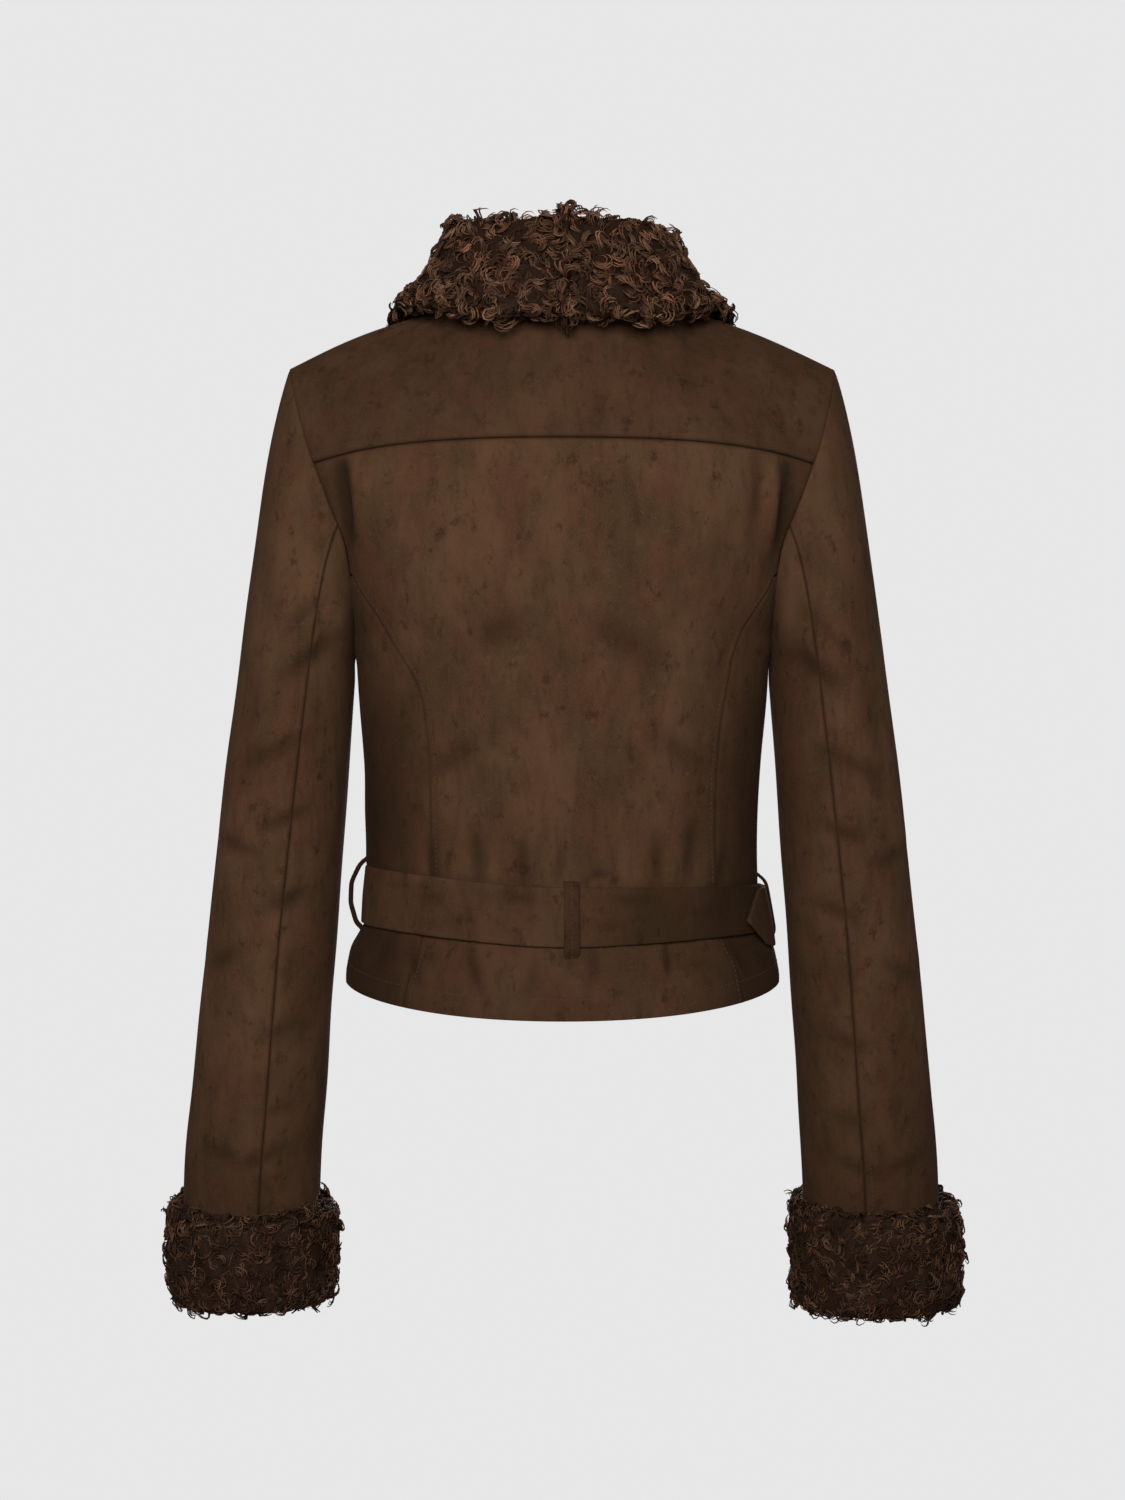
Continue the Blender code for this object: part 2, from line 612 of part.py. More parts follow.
def grid_faces(rows, places, start, turned):
    faces = []
    for row in range(rows - 1):
        for place in range(places - 1):
            first = start + row * places + place
            quad = (first, first + 1, first + places + 1, first + places)
            for face in ((quad[0], quad[1], quad[2]), (quad[0], quad[2], quad[3])):
                faces.append(tuple(reversed(face)) if turned else face)
    return faces


def wall_mesh(outer, inner):
    """Closed mesh of two like grids and the rim between them."""
    rows, places = len(outer), len(outer[0])
    count = rows * places
    points = [point for line in outer for point in line] + [point for line in inner for point in line]
    faces = grid_faces(rows, places, 0, False) + grid_faces(rows, places, count, True)
    rim = [place for place in range(places)]
    rim += [row * places + places - 1 for row in range(1, rows)]
    rim += [(rows - 1) * places + place for place in range(places - 2, -1, -1)]
    rim += [row * places for row in range(rows - 2, 0, -1)]
    for place, here in enumerate(rim):
        after = rim[(place + 1) % len(rim)]
        if points[here].dot(RIM_ORDER) > points[after].dot(RIM_ORDER):
            faces.append((after, here, here + count))
            faces.append((after, here + count, after + count))
        else:
            faces.append((after, here, after + count))
            faces.append((here, here + count, after + count))
    return points, faces


def tube_mesh(loops, closed):
    """Closed mesh of like loops, one after another: joined to the first, or capped at both ends."""
    size = len(loops[0])
    points = [point for loop in loops for point in loop]
    faces = []
    for row in range(len(loops) if closed else len(loops) - 1):
        after = (row + 1) % len(loops)
        for place in range(size):
            right = (place + 1) % size
            quad = (row * size + place, row * size + right, after * size + right, after * size + place)
            faces.append((quad[0], quad[1], quad[2]))
            faces.append((quad[0], quad[2], quad[3]))
    if not closed:
        faces.append(tuple(reversed(range(size))))
        faces.append(tuple((len(loops) - 1) * size + place for place in range(size)))
    return points, faces


def volume(points, faces):
    total = 0.0
    for face in faces:
        for place in range(1, len(face) - 1):
            total += points[face[0]].dot(points[face[place]].cross(points[face[place + 1]])) / 6
    return total


def add_piece(name, points, faces, material):
    if volume(points, faces) < 0:
        faces = [tuple(reversed(face)) for face in faces]
    mesh = bpy.data.meshes.new(name)
    mesh.from_pydata([tuple(point) for point in points], [], faces)
    mesh.materials.append(material)
    mesh.shade_smooth()
    mesh.set_sharp_from_angle(angle=math.radians(50))
    piece = bpy.data.objects.new(name, mesh)
    bpy.context.scene.collection.objects.link(piece)
    return piece


def make_material(name, colour, roughness, metallic):
    material = bpy.data.materials.new(name)
    material.use_nodes = True
    shader = material.node_tree.nodes["Principled BSDF"]
    shader.inputs["Base Color"].default_value = (*colour, 1.0)
    shader.inputs["Roughness"].default_value = roughness
    shader.inputs["Metallic"].default_value = metallic
    material.diffuse_color = (*colour, 1.0)
    return material


# ---------------------------------------------------------------- the body that later pieces lie on

RAY_START = 0.5          # from outside the jacket
RAY_SPREAD = (-0.004, 0.0, 0.004)    # angles beside each other that are tried
LIFT_REACH = 0.03        # a point further from the cloth than this stays where it is


class Body:
    """Finds points on the outside of the sewn panels, or of their mirror image."""

    def __init__(self, solids, side):
        points, faces = [], []
        for outer, _ in solids:
            start = len(points)
            points += [Vector((side * point.x, point.y, point.z)) for line in outer for point in line]
            faces += grid_faces(len(outer), len(outer[0]), start, side < 0)
        self.tree = BVHTree.FromPolygons(points, faces)

    def from_side(self, angle, height):
        """How far out the body reaches at an angle round the vertical axis and a height."""
        reach = 0.0
        for beside in RAY_SPREAD:
            out = Vector((math.cos(angle + beside), math.sin(angle + beside), 0.0))
            hit = self.tree.ray_cast(out * RAY_START + Vector((0.0, 0.0, height)), -out)[0]
            if hit and hit.dot(out) > 0:
                reach = max(reach, math.hypot(hit.x, hit.y))
        return reach

    def lift(self, point, gap):
        """The point itself, or moved out where it is nearer to the cloth than the gap."""
        spot, normal, _, _ = self.tree.find_nearest(point)
        height = (point - spot).dot(normal)
        if height >= gap or (point - spot).length > LIFT_REACH:
            return point
        return point + normal * (gap - height)


# ---------------------------------------------------------------- fur pieces

def clumps(waves, place):
    """Unevenness of the fur, 1 on average."""
    return 1 + sum(size * math.sin(number * place + start) for size, number, start in waves)


def cuff_mesh(side, pile, lean, bottom, narrowing):
    """Thick fur ring round the sleeve's end, thinner at its outer lower corner."""
    heights = column(SLEEVE_ROWS, SLEEVE_COLUMNS, "z")
    last = len(heights) - 1
    first_station = last - 1 + (heights[last - 1] - CUFF_TOP) / (heights[last - 1] - heights[last])
    loops = []
    for place in range(CUFF_STEPS):
        angle = 360.0 * place / CUFF_STEPS
        turn = math.radians(angle)
        outer_side = max(-math.cos(turn), 0.0)
        edge = ring_point(angle, last)
        start = ring_point(angle, first_station)
        down = (edge - start).normalized()
        out = Vector((-math.cos(turn), math.sin(turn), 0.0))
        out = (out - down * out.dot(down)).normalized()
        length = (start.z - bottom - edge.z + heights[last]) / -down.z
        above, below = start + out * CUFF_LIFT, edge + out * CUFF_LIFT + down * CUFF_PAST
        loop = [above, (above + below) / 2, below, edge + down * CUFF_PAST - out * CUFF_INSIDE]
        thick = (pile - lean * math.cos(turn)) * clumps(CUFF_CLUMPS, turn)
        for depth, share in reversed(CUFF_PROFILE):
            kept = 1 - narrowing * outer_side * smooth((depth - 0.5) * 2)
            loop.append(start + down * (length * depth) + out * (thick * share * kept + CUFF_LIFT))
        loops.append([Vector((side * spot.x, spot.y, spot.z)) for spot in loop])
    return tube_mesh(loops, True)


def neckline(yoke, front):
    """The neckline's points from the centre back over the neck point to where the V meets the centre."""
    middle = len(TOP_ACROSS) - 1
    points = [yoke[-1][middle + place] for place in range(NECK_STEPS + 1)]
    for line in list(reversed(front))[1:]:
        if line[0].x < COLLAR_END_X:
            break
        points.append(line[0])
    fine = [points[0]]
    for before, after in zip(points, points[1:]):
        fine += [(before + after) / 2, after]
    return fine


def collar_section(point, row, share, body, sunk):
    """Section of the collar: up the stand's inside, over the roll, down the fall and back under it."""
    rise, lean, pile, fall_x, fall_y, fall_z = (
        along(column(COLLAR_ROWS, COLLAR_COLUMNS, name), row) for name in COLLAR_COLUMNS[2:])
    sinking = min(max((share - SINK_START) / SINK_LENGTH, 0.0), 1.0)
    left = 1 - sunk * math.sin(math.pi * sinking)
    pile, rise = pile * left, rise * left
    fall = Vector((fall_x, fall_y, fall_z))
    ridge = max(1 - (fall.y / SHOULDER_RIDGE) ** 2, 0.0)
    fall = body.lift(fall, COLLAR_GAP + RIDGE_GAP * ridge)
    out = Vector((fall.x - point.x, fall.y - point.y, 0.0)).normalized()
    up = Vector((0.0, 0.0, 1.0))
    foot = point + up * FOOT_LIFT
    roll = point + up * rise - out * lean
    outside = (fall - roll).normalized()
    away = (up - outside * outside.z).normalized()
    thick = pile * clumps(COLLAR_CLUMPS, share)
    section = [foot - out * FOOT_IN]
    section += [foot + (roll - point) * part - out * (thick * wide) for part, wide in STAND_PROFILE]
    section += [roll + up * (thick * high) + out * (thick * wide) for high, wide in ROLL_PROFILE]
    section += [roll + (fall - roll) * part + away * (thick * wide) for part, wide in FALL_PROFILE]
    section += [fall + outside * (pile * FALL_EDGE[0]) + away * (thick * FALL_EDGE[1]), fall]
    section += [point + (fall - point) * part - up * UNDER_DROP for part in UNDER_PROFILE]
    section.append(point + out * FOOT_OUT[0] + up * FOOT_OUT[1])
    lifted = section[:1]
    for spot in section[1:]:
        ridge = max(1 - (spot.y / SHOULDER_RIDGE) ** 2, 0.0) * min((spot - point).length / RIDGE_START, 1.0)
        lifted.append(body.lift(spot, COLLAR_GAP + RIDGE_GAP * ridge))
    return lifted


def collar_mesh(line, body, side, sunk):
    """Half of the fur collar: a stand that rolls over and falls onto the shoulders and the chest."""
    lengths = [0.0]
    for before, after in zip(line, line[1:]):
        lengths.append(lengths[-1] + (after - before).length)
    places = column(COLLAR_ROWS, COLLAR_COLUMNS, "place")
    loops = []
    for point, length in zip(line, lengths):
        share = length / lengths[-1]
        upper = next(place for place, value in enumerate(places) if value >= share - 1e-9 and place > 0)
        row = upper - 1 + (share - places[upper - 1]) / (places[upper] - places[upper - 1])
        section = collar_section(point, row, share, body, sunk)
        loops.append([Vector((max(spot.x, SEAM_GAP), spot.y, spot.z)) for spot in section])
    for spot in loops[0]:
        spot.x = SEAM_GAP
    points, faces = tube_mesh(loops, False)
    if side < 0:
        points = [Vector((-point.x, point.y, point.z)) for point in points]
    return points, faces


# ---------------------------------------------------------------- belt, loops, tail and buckle

def round_belt(angle, column_place):
    """Value of the belt's table at an angle: 0 the left side, 90 the centre back."""
    values = [row[column_place] for row in BELT_TABLE]
    place = (math.degrees(angle) % 360.0) / 90.0
    start = int(place) % 4
    part = smooth(place - int(place))
    return values[start] * (1 - part) + values[(start + 1) % 4] * part


def belt_top(angle):
    return round_belt(angle, 1)


def belt_width(angle):
    return round_belt(angle, 2)


def strip_loop(angle, top, bottom, inner_top, inner_bottom, thick):
    """Section of a strip that stands round the body: upper and lower edge, inside and outside."""
    out = Vector((math.cos(angle), math.sin(angle), 0.0))
    up = Vector((0.0, 0.0, 1.0))
    middle = 0.5 * (inner_top + inner_bottom)
    return [out * inner_top + up * top, out * middle + up * (0.5 * (top + bottom)),
            out * inner_bottom + up * bottom, out * (inner_bottom + thick) + up * bottom,
            out * (middle + thick) + up * (0.5 * (top + bottom)), out * (inner_top + thick) + up * top]


def belt_radii(body):
    """Inner radius of the belt at its upper and lower edge for each step round the body."""
    radii = []
    for step in range(BELT_STEPS):
        angle = 2 * math.pi * step / BELT_STEPS
        top = belt_top(angle)
        need = 0.0
        for near in (-0.5, 0.0, 0.5):
            turned = angle + near * 2 * math.pi / BELT_STEPS
            levels = [body.from_side(turned, top - belt_width(angle) * part) for part in (0.0, 0.5, 1.0)]
            sag = max(levels[1] - 0.5 * (levels[0] + levels[2]), 0.0)
            ends = (levels[0] + sag, levels[2] + sag)
            need = ends if need == 0.0 else (max(need[0], ends[0]), max(need[1], ends[1]))
        radii.append((need[0] + LAY_GAP + BELT_EASE, need[1] + LAY_GAP + BELT_EASE))
    return radii


def radius_at(radii, angle):
    place = (angle / (2 * math.pi) * BELT_STEPS) % BELT_STEPS
    start = int(place)
    part = place - start
    first, second = radii[start], radii[(start + 1) % BELT_STEPS]
    return [first[edge] * (1 - part) + second[edge] * part for edge in (0, 1)]


def outside_belt(radii, angle, height):
    """How far out something lies on the belt at an angle and a height."""
    inner = radius_at(radii, angle)
    part = (belt_top(angle) - height) / belt_width(angle)
    return inner[0] * (1 - part) + inner[1] * part + BELT_THICK + LAY_GAP


def belt_mesh(radii):
    loops = []
    for step in range(BELT_STEPS):
        angle = 2 * math.pi * step / BELT_STEPS
        top = belt_top(angle)
        bottom = top - belt_width(angle)
        loops.append(strip_loop(angle, top, bottom, radii[step][0], radii[step][1], BELT_THICK))
    return tube_mesh(loops, True)


def tail_mesh(radii):
    """The belt's free end: from the buckle over the right side, through its loop, and drooping behind it."""
    loops = []
    start, end = (math.radians(value) for value in TAIL_RANGE)
    stations = []
    for step in range(TAIL_STEPS + 1):
        angle = start + (end - start) * step / TAIL_STEPS
        top, bottom = belt_top(angle) - TAIL_INSET, belt_top(angle) - belt_width(angle) + TAIL_INSET
        stations.append((angle, top, bottom, 0.0, 0.0))
    stations += [(math.radians(row[0]), *row[1:]) for row in TAIL_END]
    for angle, top, bottom, loose_top, loose_bottom in stations:
        inner = (outside_belt(radii, angle, top) + TAIL_GAP + loose_top,
                 outside_belt(radii, angle, bottom) + TAIL_GAP + loose_bottom)
        loops.append(strip_loop(angle, top, bottom, *inner, TAIL_THICK))
    return tube_mesh(loops, False)


def loop_mesh(body, radii, angle, ends, bulge, layers):
    """Belt loop: a narrow strip that leaves the cloth above the belt and comes back below it."""
    across = Vector((-math.sin(angle), math.cos(angle), 0.0))
    out = Vector((math.cos(angle), math.sin(angle), 0.0))
    up = Vector((0.0, 0.0, 1.0))

    def over_belt(part, stand):
        height = belt_top(angle) - belt_width(angle) * part
        return height, outside_belt(radii, angle, height) + layers + stand

    def on_body(height):
        reach = [body.from_side(angle + turn, height) for turn in LOOP_SPREAD]
        return height, max(reach) + LAY_GAP + LOOP_EASE

    path = [on_body(ends[0]), on_body(ends[0] - LOOP_SEWN)]
    path += [over_belt(part, stand) for part, stand in zip(LOOP_PARTS, bulge)]
    path += [on_body(ends[1] + LOOP_SEWN), on_body(ends[1])]
    loops = []
    for place, (height, reach) in enumerate(path):
        before, after = path[max(place - 1, 0)], path[min(place + 1, len(path) - 1)]
        slope = Vector((after[1] - before[1], after[0] - before[0])).normalized()
        square = out * -slope.y + up * slope.x
        spot = out * reach + up * height
        half = across * (LOOP_WIDTH / 2)
        loops.append([spot - half, spot + half, spot + half + square * LOOP_THICK,
                      spot - half + square * LOOP_THICK])
    return tube_mesh(loops, False)


def frame_mesh(width, height, bar, depth, thick, middle_z):
    """Plain four-sided buckle frame that lies against the belt at the centre front."""
    half_w, half_h = width / 2, height / 2
    outer = [(-half_w, -half_h), (half_w, -half_h), (half_w, half_h), (-half_w, half_h)]
    inner = [(-half_w + bar, -half_h + bar), (half_w - bar, -half_h + bar),
             (half_w - bar, half_h - bar), (-half_w + bar, half_h - bar)]
    loops = []
    for (out_x, out_z), (in_x, in_z) in zip(outer, inner):
        front, back = -depth - thick, -depth
        loops.append([Vector((out_x, back, middle_z + out_z)), Vector((out_x, front, middle_z + out_z)),
                      Vector((in_x, front, middle_z + in_z)), Vector((in_x, back, middle_z + in_z))])
    return tube_mesh(loops, True)


def build():
    for thing in list(bpy.data.objects):
        bpy.data.objects.remove(thing, do_unlink=True)

    suede = make_material("suede", (0.062, 0.028, 0.015), 0.95, 0.0)
    fur = make_material("curly_fur", (0.048, 0.023, 0.013), 1.0, 0.0)
    metal = make_material("buckle_metal", (0.30, 0.27, 0.22), 0.35, 1.0)

    sewing = Sewing()
    yoke = yoke_grid()
    left_front, right_front = front_grid(-OVERLAP_LIFT), mirrored(front_grid(OVERLAP_LIFT))
    upper, under = sleeve_grids()
    sewing.add("back_yoke", "body", yoke, Vector((0, 1, 0.5)))
    sewing.add("back_center", "body", back_center_grid(), Vector((0, 1, 0)))
    sewing.add("back_side_left", "body", back_side_grid(1), Vector((1, 0.5, 0)))
    sewing.add("back_side_right", "body", back_side_grid(-1), Vector((-1, 0.5, 0)))
    sewing.add("front_left", "body", left_front, Vector((0.5, -1, 0)))
    sewing.add("front_right", "body", right_front, Vector((-0.5, -1, 0)))
    for side, sign in (("left", 1.0), ("right", -1.0)):
        pair = (upper, under) if sign > 0 else (mirrored(upper), mirrored(under))
        sewing.add("sleeve_upper_" + side, "arm_" + side, pair[0], Vector((sign, 0, 0)))
        sewing.add("sleeve_under_" + side, "arm_" + side, pair[1], Vector((-sign, 0, 0)))
    solids = sewing.solids()
    for name, (outer, inner) in solids.items():
        add_piece(name, *wall_mesh(outer, inner), suede)

    torso = [solids[name] for name in solids if "sleeve" not in name]
    body = Body(torso, 1.0)
    for name, side, sunk in COLLARS:
        line = neckline(yoke, front_grid(-side * OVERLAP_LIFT))
        add_piece(name, *collar_mesh(line, Body(torso, side), side, sunk), fur)
    for name, *values in CUFFS:
        add_piece(name, *cuff_mesh(*values), fur)

    radii = belt_radii(body)
    add_piece("belt", *belt_mesh(radii), suede)
    add_piece("belt_tail", *tail_mesh(radii), suede)
    for name, degrees, ends, bulge, layers in BELT_LOOPS:
        add_piece(name, *loop_mesh(body, radii, math.radians(degrees), ends, bulge, layers), suede)

    front = math.radians(270.0)
    reach = max(radius_at(radii, front + turn)[edge] for turn in BUCKLE_SPREAD for edge in (0, 1))
    depth = reach + BELT_THICK + TAIL_THICK + BUCKLE_GAP
    add_piece("buckle", *frame_mesh(*BUCKLE_SIZE, BUCKLE_BAR, depth, BUCKLE_THICK,
                                    belt_top(front) - belt_width(front) / 2), metal)


build()
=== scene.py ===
import math

import bmesh
import bpy
import numpy as np
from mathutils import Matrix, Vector
from mathutils.bvhtree import BVHTree


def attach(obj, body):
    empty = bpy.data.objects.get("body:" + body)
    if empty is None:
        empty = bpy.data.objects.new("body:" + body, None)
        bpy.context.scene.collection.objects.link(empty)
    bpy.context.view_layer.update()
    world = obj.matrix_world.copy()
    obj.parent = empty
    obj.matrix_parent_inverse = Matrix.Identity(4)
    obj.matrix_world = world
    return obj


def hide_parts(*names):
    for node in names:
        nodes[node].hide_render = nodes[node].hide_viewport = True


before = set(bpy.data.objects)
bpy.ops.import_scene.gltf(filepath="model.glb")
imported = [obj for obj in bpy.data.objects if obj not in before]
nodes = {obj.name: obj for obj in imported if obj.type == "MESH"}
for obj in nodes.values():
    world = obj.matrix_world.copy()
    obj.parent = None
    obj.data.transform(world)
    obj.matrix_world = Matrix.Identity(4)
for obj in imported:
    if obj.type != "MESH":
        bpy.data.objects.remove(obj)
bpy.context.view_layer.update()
scene = bpy.context.scene
scene.view_settings.view_transform = "Standard"
print("frame loaded", len(nodes), "nodes")


camera = {"azimuth": 179.0, "distance": 2.2, "height": -0.311, "lens": 74.7, "sensor": 36.0}
room = {"pale": (0.799, 0.799, 0.799), "floorHeight": -1.35, "floorSize": 30.0, "fill": 0.16}
lamps = (      # name, place, aim height, size, watts
    ("backSoftbox", (0.25, 2.6, 0.35), -0.30, 1.1, 56.5),
    ("frontSoftbox", (-0.30, -2.6, 0.45), -0.30, 1.3, 50.0),
    ("sideSoftboxLeft", (2.8, -0.3, 0.4), -0.34, 1.4, 4.0),
    ("sideSoftboxRight", (-2.8, -0.3, 0.4), -0.34, 1.4, 4.0),
)


def addCamera():
    data = bpy.data.cameras.new("photoCamera")
    data.sensor_width = camera["sensor"]
    data.lens = camera["lens"]
    data.dof.use_dof = False
    data.clip_end = 60.0
    eye = bpy.data.objects.new("photoCamera", data)
    turn, far = math.radians(camera["azimuth"]), camera["distance"]
    eye.location = (math.sin(turn) * far, -math.cos(turn) * far, camera["height"])
    eye.rotation_euler = (math.radians(90.0), 0.0, turn)
    scene.collection.objects.link(eye)
    scene.camera = eye


def addLamps():
    for name, place, aimHeight, size, watts in lamps:
        data = bpy.data.lights.new(name, "AREA")
        data.shape = "SQUARE"
        data.size = size
        data.energy = watts
        lamp = bpy.data.objects.new(name, data)
        lamp.location = place
        lamp.rotation_euler = (Vector((0, 0, aimHeight)) - Vector(place)).to_track_quat("-Z", "Y").to_euler()
        scene.collection.objects.link(lamp)


def addRoom():
    world = bpy.data.worlds.new("studioAir")
    world.use_nodes = True
    tree = world.node_tree
    tree.nodes.clear()
    seen = tree.nodes.new("ShaderNodeBackground")
    seen.inputs["Color"].default_value = (*room["pale"], 1.0)
    lit = tree.nodes.new("ShaderNodeBackground")
    lit.inputs["Color"].default_value = (1.0, 1.0, 1.0, 1.0)
    lit.inputs["Strength"].default_value = room["fill"]
    path = tree.nodes.new("ShaderNodeLightPath")
    mix = tree.nodes.new("ShaderNodeMixShader")
    out = tree.nodes.new("ShaderNodeOutputWorld")
    tree.links.new(path.outputs["Is Camera Ray"], mix.inputs[0])
    tree.links.new(lit.outputs[0], mix.inputs[1])
    tree.links.new(seen.outputs[0], mix.inputs[2])
    tree.links.new(mix.outputs[0], out.inputs[0])
    scene.world = world
    half = room["floorSize"] / 2
    mesh = bpy.data.meshes.new("studioFloor")
    corners = [(-half, -half), (half, -half), (half, half), (-half, half)]
    mesh.from_pydata([(x, y, room["floorHeight"]) for x, y in corners], [], [(0, 1, 2, 3)])
    floor = bpy.data.objects.new("studioFloor", mesh)
    paint = bpy.data.materials.new("paleFloor")
    paint.use_nodes = True
    shader = paint.node_tree.nodes["Principled BSDF"]
    shader.inputs["Base Color"].default_value = (0.0, 0.0, 0.0, 1.0)
    shader.inputs["Specular IOR Level"].default_value = 0.0
    shader.inputs["Emission Color"].default_value = (*room["pale"], 1.0)
    shader.inputs["Emission Strength"].default_value = 1.0
    mesh.materials.append(paint)
    floor.visible_diffuse = False
    floor.visible_glossy = False
    floor.visible_shadow = False
    scene.collection.objects.link(floor)


addCamera()
addLamps()
addRoom()
print("camera, lamps and floor made")


class Finish:      # one material, with short calls for its nodes
    def __init__(self, name):
        self.material = bpy.data.materials.new(name)
        self.material.use_nodes = True
        self.tree = self.material.node_tree
        self.shader = self.tree.nodes["Principled BSDF"]

    def feed(self, socket, value):      # links a field, and types in anything else
        if isinstance(value, Field):
            self.tree.links.new(value.socket, socket)
        else:
            socket.default_value = value

    def field(self, kind, settings, inputs, output=0):      # a node of any kind, and the output wanted
        node = self.tree.nodes.new(kind)
        for name, value in settings.items():
            setattr(node, name, value)
        for name, value in inputs.items():
            self.feed(node.inputs[name], value)
        return Field(self, node.outputs[output])

    def place(self):      # where a point is on its own object
        return self.field("ShaderNodeTexCoord", {}, {}, 3)

    def noise(self, place, scale, detail, rough=0.5):
        return self.field("ShaderNodeTexNoise", {},
                          {"Vector": place, "Scale": scale, "Detail": detail, "Roughness": rough})

    def mark(self, name):      # values kept on the points of the mesh
        return self.field("ShaderNodeAttribute", {"attribute_name": name}, {}, 2)

    def blend(self, amount, first, second):      # colours
        return self.field("ShaderNodeMix", {"data_type": "RGBA"}, {0: amount, 6: first, 7: second}, 2)

    def put(self, values):
        for name, value in values.items():
            self.feed(self.shader.inputs[name], value)


class Field:       # a socket that can be used in sums
    def __init__(self, finish, socket):
        self.finish, self.socket = finish, socket

    def sum(self, how, first, second):
        return self.finish.field("ShaderNodeMath", {"operation": how}, {0: first, 1: second})

    def __add__(self, other):
        return self.sum("ADD", self, other)

    def __radd__(self, other):
        return self.sum("ADD", other, self)

    def __mul__(self, other):
        return self.sum("MULTIPLY", self, other)

    def __rmul__(self, other):
        return self.sum("MULTIPLY", other, self)

    def spread(self, low, high, start=0.0, end=1.0):
        inputs = {"Value": self, 1: low, 2: high, 3: start, 4: end}
        return self.finish.field("ShaderNodeMapRange", {"interpolation_type": "SMOOTHSTEP"}, inputs)


def tones(colours, shade):      # named colours, all made lighter or darker
    return {name: tuple(value * shade for value in colour) + (1.0,) for name, colour in colours.items()}


suede = {
    "colours": {"olive": (0.0635, 0.0345, 0.0162), "red": (0.0810, 0.0355, 0.0186),
                "tan": (0.136, 0.069, 0.037), "dark": (0.021, 0.0105, 0.0053)},
    "patch": 38.0, "streak": 120.0, "nap": 1500.0, "grain": 420.0,      # how fine each pattern is
    # the shade and crease layers are painted shade; clouds, streaks, marks, flecks and nap are the suede's
    # own mottling
    "layers": {"clouds": (0.46, "tan"), "streaks": (0.30, "dark"), "marks": (0.74, "dark"),
               "flecks": (0.46, "tan"), "nap": (0.34, "tan"), "shade": (0.80, "dark"),
               "creaseShade": (0.74, "dark")},
    "shader": {"Roughness": 0.92, "Specular IOR Level": 0.06, "Sheen Weight": 0.04, "Sheen Roughness": 0.45,
               "Sheen Tint": (0.55, 0.36, 0.24, 1.0)},
    "bump": {"Strength": 0.35, "Distance": 0.0006},
}


def makeSuede(name, shade):
    look = Finish(name)
    place = look.place()

    def noise(scale, stretch, detail, rough=0.5, shift=0.0):      # a stretch below 1 draws it out upright
        inputs = {"Vector": place, "Location": (shift, shift * 0.7, shift * 1.3),
                  "Scale": (scale, scale, scale * stretch)}
        return look.noise(look.field("ShaderNodeMapping", {}, inputs), 1.0, detail, rough)

    patch, tone = suede["patch"], tones(suede["colours"], shade)
    streaks = noise(suede["streak"], 0.28, 4.0, 0.62, 1.7)
    nap = noise(suede["nap"], 0.6, 2.0)
    masks = {
        "clouds": noise(patch * 0.55, 0.60, 4.0, 0.6, 3.1).spread(0.40, 0.66),
        "streaks": streaks.spread(0.46, 0.70),
        "marks": noise(patch * 2.5, 0.70, 6.0, 0.70, 7.3).spread(0.54, 0.72),
        "flecks": noise(patch * 4.0, 1.50, 5.0, 0.70, 11.3).spread(0.58, 0.74),
        "nap": nap.spread(0.40, 0.75),
        "shade": look.mark("shade"),
        "creaseShade": look.mark("creaseShade"),
    }
    colour = look.blend(noise(patch, 0.62, 4.0, 0.62).spread(0.42, 0.58), tone["olive"], tone["red"])
    for layer, (amount, key) in suede["layers"].items():
        colour = look.blend(masks[layer] * amount, colour, tone[key])
    height = nap * 0.35 + streaks * 0.4 + noise(suede["grain"], 0.6, 4.0, 0.6, 5.0) * 0.9
    bump = look.field("ShaderNodeBump", {}, {"Height": height, **suede["bump"]})
    look.put({"Base Color": colour, "Normal": bump, **suede["shader"]})
    return look.material


threadLook = {"Base Color": (0.088, 0.050, 0.031, 1.0), "Roughness": 0.8, "Specular IOR Level": 0.15}


def makeThread():
    look = Finish("suedeThread")
    look.put(threadLook)
    return look.material


fur = {
    "collar": 1.0, "cuff": 0.56,      # how light each is
    # the dark root colour is painted shade deep in the fur
    "colours": {"root": (0.014, 0.0064, 0.0035), "tip": (0.540, 0.278, 0.158),
                "redTip": (0.470, 0.208, 0.116)},
    "patch": 60.0, "grain": 700.0, "shader": {"Roughness": 0.66, "Specular IOR Level": 0.08},
}


def makeFur(name, shade):
    look = Finish(name)
    place, tone = look.place(), tones(fur["colours"], shade)
    patch, grain = look.noise(place, fur["patch"], 2.0), look.noise(place, fur["grain"], 2.0)
    tip = look.blend(patch.spread(0.42, 0.60), tone["tip"], tone["redTip"])
    amount = look.mark("along") * grain.spread(0.30, 0.60, 0.75, 1.0)      # 0 at a root, 1 at a light tip; the dark roots are painted shade
    look.put({"Base Color": look.blend(amount, tone["root"], tip), **fur["shader"]})
    return look.material


metal = {"colours": {"worn": (0.20, 0.165, 0.12), "bright": (0.34, 0.29, 0.22)}, "wear": 260.0}


def makeMetal():
    look = Finish("dullBuckleMetal")
    tone = tones(metal["colours"], 1.0)
    wear = look.noise(look.place(), metal["wear"], 4.0)
    colour = look.blend(wear.spread(0.35, 0.70), tone["worn"], tone["bright"])
    look.put({"Base Color": colour, "Metallic": 1.0, "Roughness": wear.spread(0.30, 0.75, 0.28, 0.46)})
    return look.material


suedeOuter = makeSuede("brownSuede", 1.0)
suedeBelt = makeSuede("beltSuede", 0.97)
thread = makeThread()
furFinish = {"collar": makeFur("collarFur", fur["collar"]), "cuff": makeFur("cuffFur", fur["cuff"])}
buckleMetal = makeMetal()
print("finishes made")


def table(columns, rows):
    return {name: [row[place] for row in rows] for place, name in enumerate(columns)}


